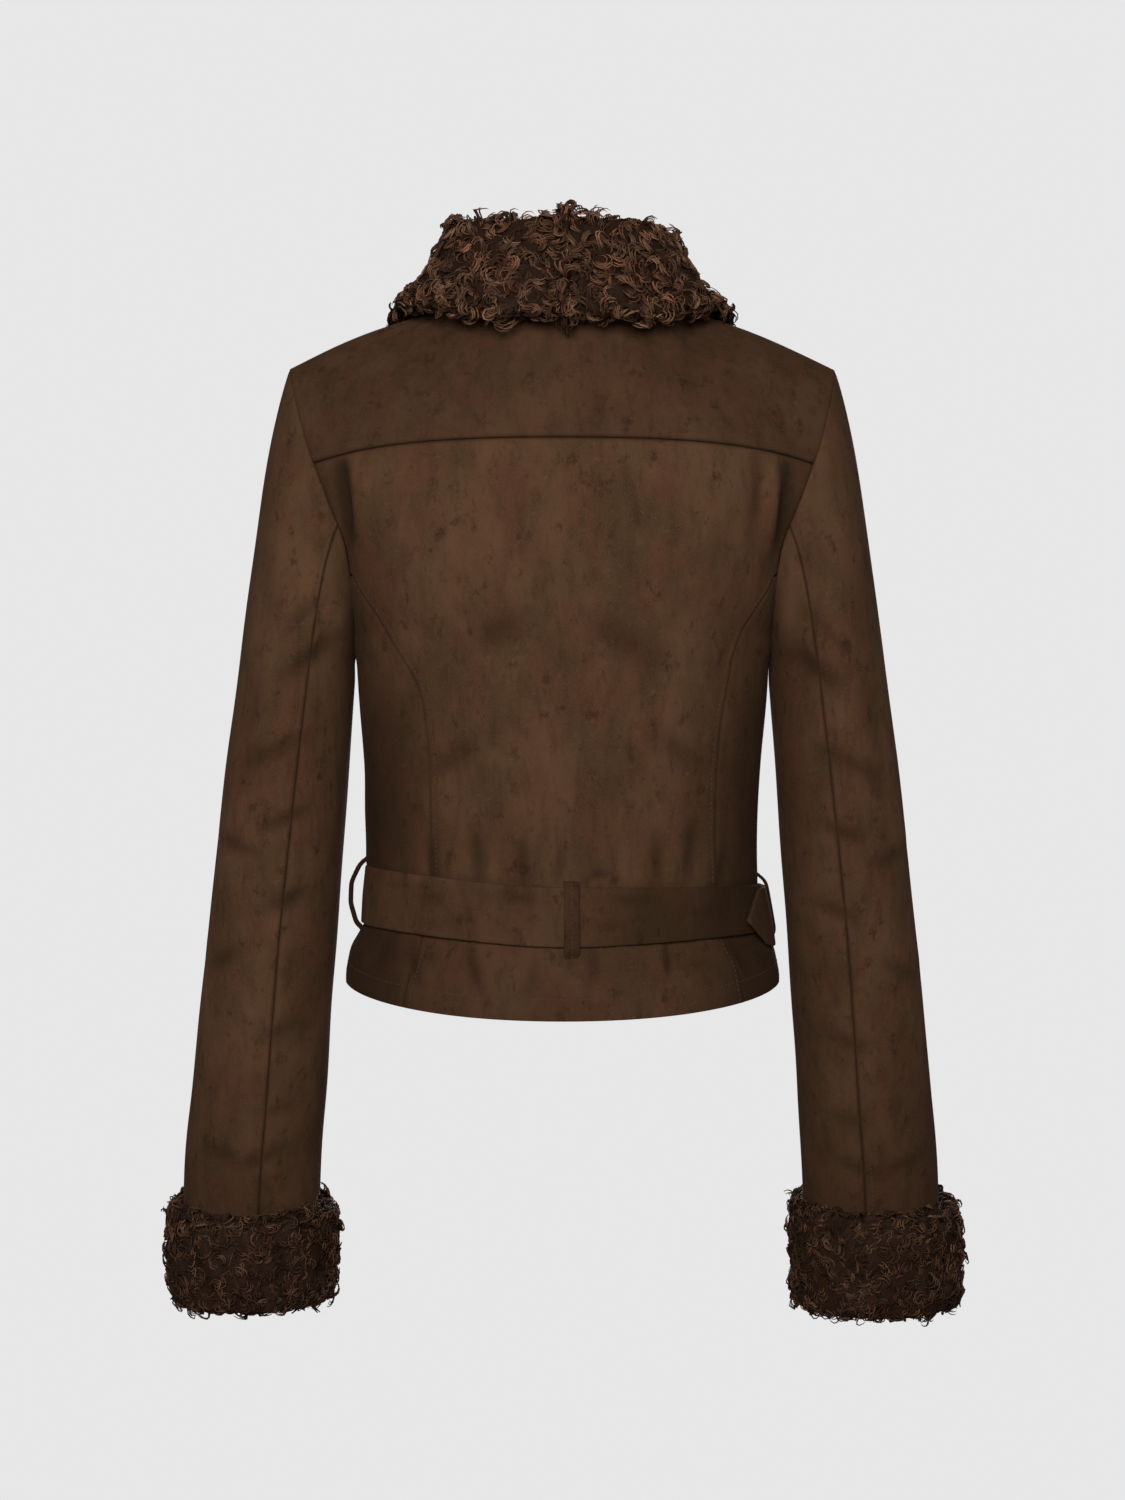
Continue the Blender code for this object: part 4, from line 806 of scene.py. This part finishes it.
gridStep = {"body": 0.0040, "sleeve": 0.0042}
gridWidth = {      # rough widths, for how many points lie across
    "center": 0.30, "side": 0.070, "yoke": 0.36, "front": 0.20, "upper": 0.215, "under": 0.130,
}
topstitch = {"yoke": 0.0065, "princess": 0.0045, "sleeve": 0.0055, "hem": 0.0145, "front": 0.0065}
pieces = {}


def acrossSteps(part, step="body"):      # 0 to 1 over a panel
    return edgedSteps(gridWidth[part], gridStep[step]) / gridWidth[part]


def backGrid(across, rows):
    return sheetPoints("back", across, rows[:, None] + 0 * across)


def backPanels():
    rows = evenRows("back", 0.5, 0.0, topRow["back"], gridStep["body"])
    fractions = acrossSteps("center") * 2 - 1
    onSeam = rows <= cut["princessTop"]
    reach = {side: np.where(onSeam, princessPlace(rows, side), 1.0) for side in (-1, 1)}
    across = np.where(fractions[None, :] < 0, fractions * reach[-1][:, None], fractions * reach[1][:, None])
    pieces["back_center"] = addShell(
        "back_center", backGrid(across, rows), (0, 1, 0), {"first": 0.0004, "last": 0.0004, "top": 0.0015},
        bodyCreases, limit=onSeam.astype(float),
        stitched={"first": topstitch["princess"], "last": topstitch["princess"], "bottom": topstitch["hem"]})
    for name, side in (("back_side_left", 1), ("back_side_right", -1)):
        rows = evenRows("back", 0.9, 0.0, cut["princessTop"], gridStep["body"])
        start = princessPlace(rows, side)[:, None]
        grid = backGrid(side * (start + (1 - start) * acrossSteps("side")), rows)
        pieces[name] = addShell(name, grid, (side, 0.5, 0), {"first": 0.0006, "last": 0.0003, "top": 0.0002},
                                bodyCreases, stitched={"bottom": topstitch["hem"]})
    rows = evenRows("back", 0.5, topRow["back"], topRow["back"] + 1.0, gridStep["body"])
    across = (acrossSteps("yoke") * 2 - 1)[None, :] + 0 * rows[:, None]
    pieces["back_yoke"] = addShell(
        "back_yoke", backGrid(across, rows), (0, 1, 0.5),
        {"bottom": 0.0002, "first": 0.0002, "last": 0.0002, "top": 0.0004}, bodyCreases,
        stitched={"bottom": topstitch["yoke"]})


def fronts():
    for name, side in (("front_left", 1), ("front_right", -1)):
        rows = evenRows("front", 0.6, 0.0, topRow["front"] + 1.0, gridStep["body"])
        start = frontStart(rows)[:, None]
        across = start + (1 - start) * acrossSteps("front")
        grid = frontPoints(across, rows[:, None] + 0 * across, -side * cut["overlapLift"])
        grid[..., 0] *= side
        pieces[name] = addShell(name, grid, (side * 0.5, -1, 0), {"last": 0.0003, "top": 0.0004}, bodyCreases,
                                stitched={"bottom": topstitch["hem"], "first": topstitch["front"]})


sleeveParts = {      # which way it faces, its seams' roll and its topstitching
    "upper": (1, {"bottom": 0.0008, "first": 0.0003, "last": 0.0003}, {"first": topstitch["sleeve"]}),
    "under": (-1, {"bottom": 0.0008, "first": 0.0009, "last": 0.0009}, {}),
}


def sleeves():
    loop = armholeLoop()
    top, backRows, frontRows, angles = loop
    count = len(angles) - 1
    backSeam = float(np.interp(cut["backSeamRow"], backRows, range(top + 1)))
    frontSeam = top + float(np.interp(-cut["frontSeamRow"], -frontRows, range(len(frontRows))))
    ends = {"upper": (backSeam, frontSeam), "under": (frontSeam, count + backSeam)}
    overCap = np.linspace(0, 1, 34)[1:-1]
    alongArm = 1.0 + np.linspace(0, len(sleeve["z"]) - 1.0, 104)
    down = np.concatenate([[0.0, 0.006, 0.014], overCap, alongArm])
    for part, (way, seams, stitched) in sleeveParts.items():
        first, last = ends[part]
        grid = sleeveGrid(first + (last - first) * acrossSteps(part, "sleeve"), down, loop)
        for name, side, shift in (("left", 1.0, 0.0), ("right", -1.0, -9.0)):
            own = grid * np.array((side, 1, 1))
            past = unit(own[0] - own[1])      # the armhole edge goes a little under the body's edge
            own = np.concatenate([own[:1] + past * sewing["tuck"], own])
            label = f"sleeve_{part}_{name}"
            pieces[label] = addShell(label, own, (side * way, 0, 0), seams, sleeveCreases,
                                     side, shift, stitched)


backPanels()
fronts()
sleeves()
print("cloth panels made", sum(len(piece.data.polygons) for piece, _ in pieces.values()) * 2, "triangles")
for name, size in cutSizes.items():
    print("cut", name, size)


beltLook = {
    "thick": 0.0026, "edgeRound": 0.0010, "steps": 460, "belly": 0.0004, "pressed": 0.0018,
    "outer": (0.0, 0.01, 0.035, 0.09, 0.2, 0.35, 0.5, 0.65, 0.8, 0.91, 0.965, 0.99, 1.0),
    "inner": (0.98, 0.75, 0.5, 0.25, 0.02),      # where the points lie down its two faces
}


def nodeTree(name):
    mesh = nodes[name].data
    mesh.calc_loop_triangles()
    return BVHTree.FromPolygons([vertex.co.copy() for vertex in mesh.vertices],
                                [tuple(triangle.vertices) for triangle in mesh.loop_triangles])


def outerRadius(tree, angle, height):
    out = Vector((math.cos(angle), math.sin(angle), 0.0))
    hit = tree.ray_cast(out * 0.4 + Vector((0, 0, height)), -out)[0]
    return math.hypot(hit.x, hit.y) if hit and hit.dot(out) > 0 else None


def stripSection(radii, top, bottom, angle, thick):      # rounded section, from its outer face's radii
    out, up = np.array((math.cos(angle), math.sin(angle), 0.0)), np.array((0, 0, 1.0))
    edge, section = beltLook["edgeRound"], []
    for part in beltLook["outer"]:
        reach = np.interp(part, (0.0, 0.5, 1.0), radii) + beltLook["belly"] * math.sin(math.pi * part)
        ends = min(part, 1 - part) * (top - bottom)
        fall = edge * (1 - math.sqrt(max(1 - (1 - min(ends / edge, 1.0)) ** 2, 0.0)))
        section.append(out * (reach - fall) + up * (top + (bottom - top) * part))
    for part in beltLook["inner"]:
        reach = np.interp(part, (0.0, 0.5, 1.0), radii) - thick
        section.append(out * reach + up * (top + (bottom - top) * part))
    return section


def tubeFaces(loops, size, closed):
    faces = []
    for row in range(loops if closed else loops - 1):
        after = (row + 1) % loops
        for place in range(size):
            right = (place + 1) % size
            faces.append((row * size + place, row * size + right, after * size + right, after * size + place))
    if not closed:
        faces.append(tuple(reversed(range(size))))
        faces.append(tuple((loops - 1) * size + place for place in range(size)))
    return faces


def outward(verts, faces):      # turns the faces outward
    verts = np.asarray(verts)
    total = 0.0
    for face in faces:
        for place in range(1, len(face) - 1):
            total += verts[face[0]] @ np.cross(verts[face[place]], verts[face[place + 1]])
    return faces if total > 0 else [tuple(reversed(face)) for face in faces]


def smoothAround(values, closed, times):
    values = np.array(values)
    for _ in range(times):
        if closed:
            values = 0.5 * values + 0.25 * (np.roll(values, 1, axis=0) + np.roll(values, -1, axis=0))
        else:
            values[1:-1] = 0.5 * values[1:-1] + 0.25 * (values[:-2] + values[2:])
    return values


beltCreases = (      # as on the body, in millimetres
    ("back", 118, -404, 84, -412, 3.0, 0.8), ("back", 96, -430, 58, -424, 3.0, 0.6),
    ("back", 44, -408, 20, -413, 3.0, 0.7), ("back", -20, -432, -48, -426, 3.0, 0.6),
    ("back", -34, -412, -70, -416, 3.0, 0.8), ("back", -76, -428, -104, -421, 3.0, 0.7),
    ("back", 70, -402, 62, -438, 4.0, 0.5), ("back", -86, -408, -92, -432, 4.0, 0.5),
    ("front", 80, -404, 50, -414, 3.0, 0.7), ("front", -64, -428, -96, -420, 3.0, 0.7),
)


def beltFolds(verts):      # the belt's points with its creases, and a mark for how deep each is, painted as shade in them
    verts = np.asarray(verts)
    out = unit(verts * np.array((1, 1, 0)))
    folds = creaseField(verts, out, beltCreases)
    return verts + out * folds[:, None], np.clip(-folds / 0.0011, 0.0, 1.0)


def beltShade(verts):      # painted shade: the belt is darker towards the right side
    aside = -np.asarray(verts)[:, 0]
    return 0.28 + 0.46 * rise(aside, 0.005, 0.05) + 0.26 * rise(aside, 0.085, 0.02)


def lengthOf(line, closed):
    line = np.array(list(line) + ([line[0]] if closed else []))
    return float(np.linalg.norm(np.diff(line, axis=0), axis=1).sum())


def beltWaves(angle, part):      # small creases pressed into the belt
    slow = 0.0005 * math.sin(9 * angle + 2.0 * part + 0.6) * math.sin(4 * angle + 1.1)
    return slow + 0.0005 * math.sin(31 * angle - 2.6 * part) * math.sin(7 * angle + 0.5) ** 3


def stripSize(middle, widths, closed):      # widest, length and area of a strip
    long = lengthOf(middle, closed)
    return round(float(max(widths)), 3), round(long, 3), round(long * float(np.mean(widths)), 4)


def onRing(angle, reach, height):
    return math.cos(angle) * reach, math.sin(angle) * reach, height


def addBelt():
    tree = nodeTree("belt")
    angles = [2 * math.pi * step / beltLook["steps"] for step in range(beltLook["steps"])]
    tops, widths = roundBelt(np.array(angles), "top"), roundBelt(np.array(angles), "width")
    radii = [[outerRadius(tree, angle, top - width * part) for part in (0.04, 0.5, 0.96)]
             for angle, top, width in zip(angles, tops, widths)]
    radii = smoothAround(radii, True, 6) - beltLook["pressed"]
    verts, middle = [], []
    for angle, three, top, width in zip(angles, radii, tops, widths):
        middle.append(onRing(angle, three[1], top - width / 2))
        three = [value + beltWaves(angle, part) for value, part in zip(three, (0.0, 1.0, 2.0))]
        verts += stripSection(three, top, top - width, angle, beltLook["thick"])
    faces = outward(verts, tubeFaces(len(angles), len(verts) // len(angles), True))
    cutSizes["belt"] = stripSize(middle, widths, True)
    verts, creaseShade = beltFolds(verts)
    return addMesh("belt_strip", verts, faces, suedeBelt, {"shade": beltShade(verts), "creaseShade": creaseShade})


# the tail takes at most this much painted shade, less than the belt beside it, so its edge shows
tailLook = {"thick": 0.0022, "gap": 0.0026, "from": 265.0, "bend": 179.0, "parts": (0.12, 0.5, 0.88),
            "off": (0.3, 0.7, 1.2), "shade": 0.62}
tailShape = (      # degrees round the body, upper and lower edge of the tail's end, how far it stands off
    (179.0, -0.4060, -0.4400, 0.0010), (175.0, -0.4065, -0.4480, 0.0034), (170.0, -0.4068, -0.4485, 0.0034),
    (165.5, -0.4075, -0.4465, 0.0028), (161.0, -0.4170, -0.4395, 0.0024), (157.0, -0.4285, -0.4310, 0.0018),
)


def tailEnd(degree):      # its edges and how far it stands off, past the side loop
    places, *columns = zip(*reversed(tailShape))
    return [float(np.interp(degree, places, column)) for column in columns]


def addTail():
    tree, beltTree = nodeTree("belt_tail"), nodeTree("belt")
    bend, tip = tailLook["bend"], tailShape[-1][0]
    rows = []
    for degree in list(np.arange(tailLook["from"], bend + 0.5, -1.0)) + list(np.linspace(bend, tip, 40)):
        angle = math.radians(degree)
        beltTop = roundBelt(angle, "top")
        beltLow = beltTop - roundBelt(angle, "width") + 0.001
        if degree > bend:
            top, low = beltTop - 0.001, beltLow
            found = [outerRadius(tree, angle, top + (low - top) * part) for part in tailLook["parts"]]
        else:
            top, low, off = tailEnd(degree)
            found = [outerRadius(beltTree, angle, max(top + (low - top) * part, beltLow))
                     for part in tailLook["parts"]]
            found = [value + tailLook["gap"] + off * part for value, part in zip(found, tailLook["off"])]
        if None not in found:
            rows.append((angle, top, low, found))
    radii = smoothAround([row[3] for row in rows], False, 3) - beltLook["pressed"]
    verts, middle = [], []
    for (angle, top, low, _), three in zip(rows, radii):
        verts += stripSection(list(three), top, low, angle, tailLook["thick"])
        middle.append(onRing(angle, three[1], 0.5 * (top + low)))
    faces = outward(verts, tubeFaces(len(rows), len(verts) // len(rows), False))
    cutSizes["belt_tail"] = stripSize(middle, [top - low for _, top, low, _ in rows], False)
    marks = {"shade": np.minimum(beltShade(verts), tailLook["shade"]), "creaseShade": np.zeros(len(verts))}
    return addMesh("belt_tail_strip", verts, faces, suedeBelt, marks)


loopTable = (      # node, degrees round the body, upper and lower end, thickness in mm, how dark it is painted as shade
    ("belt_loop_back", 92.6, -0.3975, -0.4545, 1.5, 0.62),
    ("belt_loop_left", 0.0, -0.3820, -0.4400, 2.9, 1.0),
    ("belt_loop_right", 180.0, -0.3940, -0.4500, 1.9, 1.0),
)
loopLook = {"turnIn": 0.0024, "turnLength": 0.0035, "steps": 34, "seam": -0.05,
            "face": ((5.25, -0.5), (4.7, -0.1), (3.0, 0.12), (0.6, 0.10))}      # mm from the middle, mm out


def addLoop(name, degree, top, bottom, thick, dark):
    tree, angle = nodeTree(name), math.radians(degree)
    out = np.array((math.cos(angle), math.sin(angle), 0.0))
    across = np.array((-math.sin(angle), math.cos(angle), 0.0))
    found = [(height, outerRadius(tree, angle, height))
             for height in np.linspace(top - 0.0004, bottom + 0.0004, loopLook["steps"])]
    found = [row for row in found if row[1]]
    reach = smoothAround([row[1] for row in found], False, 3) - beltLook["pressed"]
    fromEnd = np.minimum(np.arange(len(found)), np.arange(len(found))[::-1]) * (top - bottom) / len(found)
    reach -= loopLook["turnIn"] * np.exp(-(fromEnd / loopLook["turnLength"]) ** 2)
    line = np.array([out * value + np.array((0, 0, row[0])) for row, value in zip(found, reach)])
    ups = np.cross(unit(np.gradient(line, axis=0)), across)
    ups *= np.where(ups @ out > 0, 1.0, -1.0)[:, None]
    half = [(loopLook["face"][0][0], -thick), *loopLook["face"]]
    section = [(-wide, deep) for wide, deep in half] + [(0.0, loopLook["seam"])] + half[::-1]
    verts = [spot + across * wide * 0.001 + up * deep * 0.001
             for spot, up in zip(line, ups) for wide, deep in section]
    faces = outward(verts, tubeFaces(len(line), len(section), False))
    stitchLines[name] = [(line, ups)]
    # painted shade: the loop darkened all over, its crease mark too when very dark
    return addMesh(name + "_strip", verts, faces, suedeBelt,
                   {"shade": np.full(len(verts), dark), "creaseShade": np.full(len(verts), smooth(dark * 2 - 1))})


def addBuckle():
    piece = nodes["buckle"].copy()
    piece.data = nodes["buckle"].data.copy()
    piece.name = "buckle_frame"
    piece.data.materials.clear()
    piece.data.materials.append(buckleMetal)
    scene.collection.objects.link(piece)
    weld = piece.modifiers.new("weld", "WELD")
    weld.merge_threshold = 0.00001
    bevel = piece.modifiers.new("rounded", "BEVEL")
    bevel.width, bevel.segments, bevel.limit_method = 0.0012, 3, "ANGLE"
    return piece


band = {"belt": addBelt(), "belt_tail": addTail()}
for row in loopTable:
    band[row[0]] = addLoop(*row)
buckle = addBuckle()
print("belt, tail, loops and buckle made")


threads = {}
for name, lines in stitchLines.items():
    verts, faces = capsules(lines)
    threads[name] = addMesh(name + "_stitches", verts, outward(verts, faces), thread)
print("stitches made", sum(len(piece.data.polygons) for piece in threads.values()))


furTable = table(("node", "inset", "locks", "strands", "long", "radius", "seed"), (
    ("collar_left", 0.0078, 1420, 5, 0.0210, 0.00086, 5),
    ("collar_right", 0.0076, 1360, 5, 0.0205, 0.00086, 6),
    ("cuff_left", 0.0064, 2070, 3, 0.0155, 0.00080, 7),
    ("cuff_right", 0.0064, 2130, 3, 0.0155, 0.00080, 8),
))
curl = {
    "points": 7, "turnLow": 2.8, "turnHigh": 5.2, "lockWidth": 0.0022, "upright": 0.34, "uprightOnTop": 0.60,
    "clumpHeight": 0.0058, "clumpSize": 520.0, "clumpSeed": 77, "wisp": 0.0085, "wisps": 0.12,
    "rooted": 0.002, "clothGap": 0.0006, "reach": 0.014,
}
backing = {      # how light it is, painted dark as the shade beneath the locks, and its lumps
    "collar": 0.02, "cuff": 0.07, "lump": 0.0026, "smallLump": 0.0008, "smallSize": 1100.0,
}


def softNode(name, level):      # the node's own form in a finer mesh
    form = bmesh.new()
    form.from_mesh(nodes[name].data)
    bmesh.ops.remove_doubles(form, verts=form.verts, dist=0.00001)
    mesh = bpy.data.meshes.new(name + "_soft")
    form.to_mesh(mesh)
    form.free()
    piece = bpy.data.objects.new(name + "_soft", mesh)
    scene.collection.objects.link(piece)
    finer = piece.modifiers.new("finer", "SUBSURF")
    finer.subdivision_type = "SIMPLE"
    finer.levels = finer.render_levels = level
    bpy.context.view_layer.update()
    soft = piece.evaluated_get(bpy.context.evaluated_depsgraph_get()).to_mesh()
    soft.calc_loop_triangles()
    verts = np.array([vertex.co[:] for vertex in soft.vertices])
    normals = np.array([vertex.normal[:] for vertex in soft.vertices])
    faces = [tuple(face.vertices) for face in soft.polygons]
    triangles = np.array([tuple(triangle.vertices) for triangle in soft.loop_triangles])
    bpy.data.objects.remove(piece, do_unlink=True)
    return verts, normals, faces, triangles


def clothTree():
    verts, faces = [], []
    for _, outer in pieces.values():
        faces += (gridFaces(*outer.shape[:2])[1] + len(verts)).tolist()
        verts += outer.reshape(-1, 3).tolist()
    return BVHTree.FromPolygons(verts, faces)


cloth = clothTree()


def clearOfCloth(spot, gap):
    near, normal, _, _ = cloth.find_nearest(Vector(spot), curl["reach"])
    if near is None:
        return spot
    height = (Vector(spot) - near).dot(normal)
    return np.array(near + normal * gap) if -curl["reach"] < height < gap else spot


def spreadRoots(verts, normals, triangles, count, picker):
    corners = verts[triangles]
    area = np.linalg.norm(np.cross(corners[:, 1] - corners[:, 0], corners[:, 2] - corners[:, 0]), axis=1) / 2
    middle, up = corners.mean(axis=1), normals[triangles].mean(axis=1)
    for place, (spot, way) in enumerate(zip(middle, up)):      # no locks where the fur lies against the cloth
        if cloth.ray_cast(Vector(spot + way * 0.001), Vector(way), 0.022)[0] is not None:
            area[place] = 0.0
    many = count * 14
    chosen = picker.choice(len(area), size=many, p=area / area.sum())
    first, second = picker.random(many), picker.random(many)
    flip = first + second > 1
    first, second = np.where(flip, 1 - first, first), np.where(flip, 1 - second, second)
    weights = np.stack([1 - first - second, first, second], axis=1)[..., None]
    spots = (corners[chosen] * weights).sum(axis=1)
    ups = unit((normals[triangles[chosen]] * weights).sum(axis=1))
    apart = math.sqrt(area.sum() / count) * 0.78
    cells, kept = {}, []
    for place, spot in enumerate(spots):
        key = tuple(np.floor(spot / apart).astype(int))
        near = [other for dx in (-1, 0, 1) for dy in (-1, 0, 1) for dz in (-1, 0, 1)
                for other in cells.get((key[0] + dx, key[1] + dy, key[2] + dz), ())]
        if all(np.linalg.norm(spots[other] - spot) > apart for other in near):
            cells.setdefault(key, []).append(place)
            kept.append(place)
        if len(kept) >= count:
            break
    return spots[kept], ups[kept]


def turnedAbout(vector, axis, angle):
    return (vector * math.cos(angle) + np.cross(axis, vector) * math.sin(angle)
            + axis * (axis @ vector) * (1 - math.cos(angle)))


def keptBack(spot, tree, past):      # a point no further outside the fur's form than it may be
    near, normal, _, _ = tree.find_nearest(Vector(spot))
    height = (Vector(spot) - near).dot(normal)
    return spot if height <= past else spot - np.array(normal) * (height - past)


def strandPath(here, up, lean, axis, start, turned, long, standing):
    path, last = [here], curl["points"] - 1
    for step in range(1, last + 1):
        part = step / last
        lift = 0.75 * (1 - part) if standing else 1.5 - 2.3 * part
        heading = turnedAbout(lean, axis, start + turned * part) + up * max(lift, -0.35)
        here = here + unit(heading) * (long / last)
        path.append(here)
    return path


def addStrand(lock, path, aside, radius, light):      # a tapered three-sided tube; lock: verts, faces, along
    verts, faces, along = lock
    path, last, base = np.array(path), len(path) - 1, len(verts)
    step = unit(np.gradient(path, axis=0))
    sideways = unit(np.cross(step, aside))
    other = np.cross(step, sideways)
    thick = radius * (1.0 - 0.70 * np.linspace(0, 1, last + 1) ** 1.6)
    for ring in range(last):
        verts += [path[ring] + (sideways[ring] * math.cos(turn) + other[ring] * math.sin(turn)) * thick[ring]
                  for turn in (0.0, 2 * math.pi / 3, 4 * math.pi / 3)]
        # painted shade: dark at the root, lighter towards the tip
        along += [light * min(ring / last * 1.3, 1.0)] * 3
    verts.append(path[-1])
    along.append(light)
    faces.append((base + 2, base + 1, base))
    for ring in range(last):
        first, second = base + 3 * ring, base + 3 * ring + 3
        for place, after in ((0, 1), (1, 2), (2, 0)):      # the last ring meets the tip
            onward = (second + after, second + place) if ring < last - 1 else (second,)
            faces.append((first + place, first + after, *onward))


def curlyLocks(spots, ups, long, radius, strands, tree, picker):
    lock = [], [], []
    for spot, up in zip(spots, ups):
        lean = np.array((0.0, 0.0, -0.55)) + picker.normal(size=3)
        lean = unit(lean - up * (lean @ up))
        side = np.cross(up, lean)
        standing = picker.random() < (curl["uprightOnTop"] if up[2] > 0.5 else curl["upright"])
        clump = 0.5 + 0.5 * float(softWaves(spot[None, :], curl["clumpSize"], curl["clumpSeed"])[0])
        past = curl["clumpHeight"] * (clump * picker.uniform(0.6, 1.1) + 0.02)
        past = curl["wisp"] if picker.random() < curl["wisps"] else past
        flat = picker.uniform(0.0, 0.35) if standing else picker.uniform(0.65, 1.0)
        axis = unit(up * flat * picker.choice((-1, 1)) + side * (1 - flat))      # what the lock curls around
        turn = picker.uniform(curl["turnLow"], curl["turnHigh"])
        length = long * picker.uniform(0.75, 1.2)
        # random tone per lock, darker on the low clumps as painted shade
        light = (0.20 + 0.80 * picker.random() ** 1.1) * (0.45 + 0.55 * clump)
        for strand in range(strands):
            around = 2 * math.pi * (strand + picker.uniform(-0.3, 0.3)) / strands
            away = curl["lockWidth"] * picker.uniform(0.3, 1.0)
            own = length * picker.uniform(0.8, 1.15)
            turned = turn * picker.uniform(0.88, 1.15)
            start = picker.normal() * 0.15 - (0.9 if standing else 0.0)
            root = spot + (lean * math.cos(around) + side * math.sin(around)) * away - up * curl["rooted"]
            path = strandPath(root, up, lean, axis, start, turned, own, standing)
            path[1:] = [clearOfCloth(keptBack(value, tree, past), curl["clothGap"]) for value in path[1:]]
            thick = radius * picker.uniform(0.75, 1.15)
            addStrand(lock, path, up + 0.3 * side, thick, light * picker.uniform(0.65, 1.0))
    return lock


def addFur(node, inset, locks, strands, long, radius, seed):
    kind, picker = node.split("_")[0], np.random.default_rng(seed)
    verts, normals, faces, triangles = softNode(node, 2)
    tree = BVHTree.FromPolygons(verts.tolist(), faces)
    depth = []
    for spot, up in zip(verts, normals):
        hit = tree.ray_cast(Vector(spot - up * 0.0003), Vector(-up), 0.06)
        depth.append(min(inset, 0.28 * hit[3]) if hit[3] else inset)
    depth = np.array(depth)
    if kind == "collar":      # the halves meet at the back
        meeting = rise(np.abs(verts[:, 0]), 0.0004, 0.006)
        depth = depth * np.where(verts[:, 1] > 0.0, meeting, 1.0)
    lumps = softWaves(verts, curl["clumpSize"], curl["clumpSeed"]) * backing["lump"]
    lumps += softWaves(verts, backing["smallSize"], seed + 50) * backing["smallLump"]
    hide = verts - normals * (depth - lumps * (depth / inset))[:, None]
    if kind == "collar":
        hide[:, 0] *= np.where((np.abs(verts[:, 0]) < 0.0008) & (verts[:, 1] > 0.0), 0.2, 1.0)
    spots, ups = spreadRoots(hide, normals, triangles, locks, picker)
    keep = []
    for spot, up in zip(spots, ups):
        near = cloth.find_nearest(Vector(spot + up * 0.004), 0.0055)
        keep.append(near[0] is None or near[1].dot(Vector(up)) > -0.2)
    spots, ups = spots[keep], ups[keep]
    lockVerts, lockFaces, along = curlyLocks(spots, ups, long, radius, strands, tree, picker)
    lockFaces = outwardLocks(lockVerts, lockFaces)
    base = len(hide)
    allFaces = list(faces) + [tuple(value + base for value in face) for face in lockFaces]
    # the backing gets its painted shade, the locks their root-to-tip values
    marks = {"along": np.concatenate([np.full(base, backing[kind]), along])}
    allVerts = np.concatenate([hide, np.array(lockVerts)])
    piece = addMesh(node + "_fur", allVerts, allFaces, furFinish[kind], marks)
    print("fur", node, len(spots), "locks", sum(len(face) - 2 for face in allFaces), "triangles")
    return piece


def outwardLocks(verts, faces):      # all the locks are wound alike, so the first side face tells
    first, second, third, _ = (verts[value] for value in faces[1])
    away = first - (verts[0] + verts[1] + verts[2]) / 3
    outside = np.cross(second - first, third - second) @ away > 0
    return faces if outside else [tuple(reversed(face)) for face in faces]


furs = {}
for place, node in enumerate(furTable["node"]):
    furs[node] = addFur(*(furTable[name][place] for name in furTable))


for name, (piece, _) in pieces.items():
    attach(piece, "root")
    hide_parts(name)
    going = [threads[name]] if name in threads else []
for name, piece in band.items():
    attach(piece, "root")
    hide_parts(name)
    name in cutSizes
for name, piece in threads.items():
    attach(piece, "root")
for name, piece in furs.items():
    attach(piece, "root")
    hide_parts(name)
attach(buckle, "root")
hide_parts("buckle")
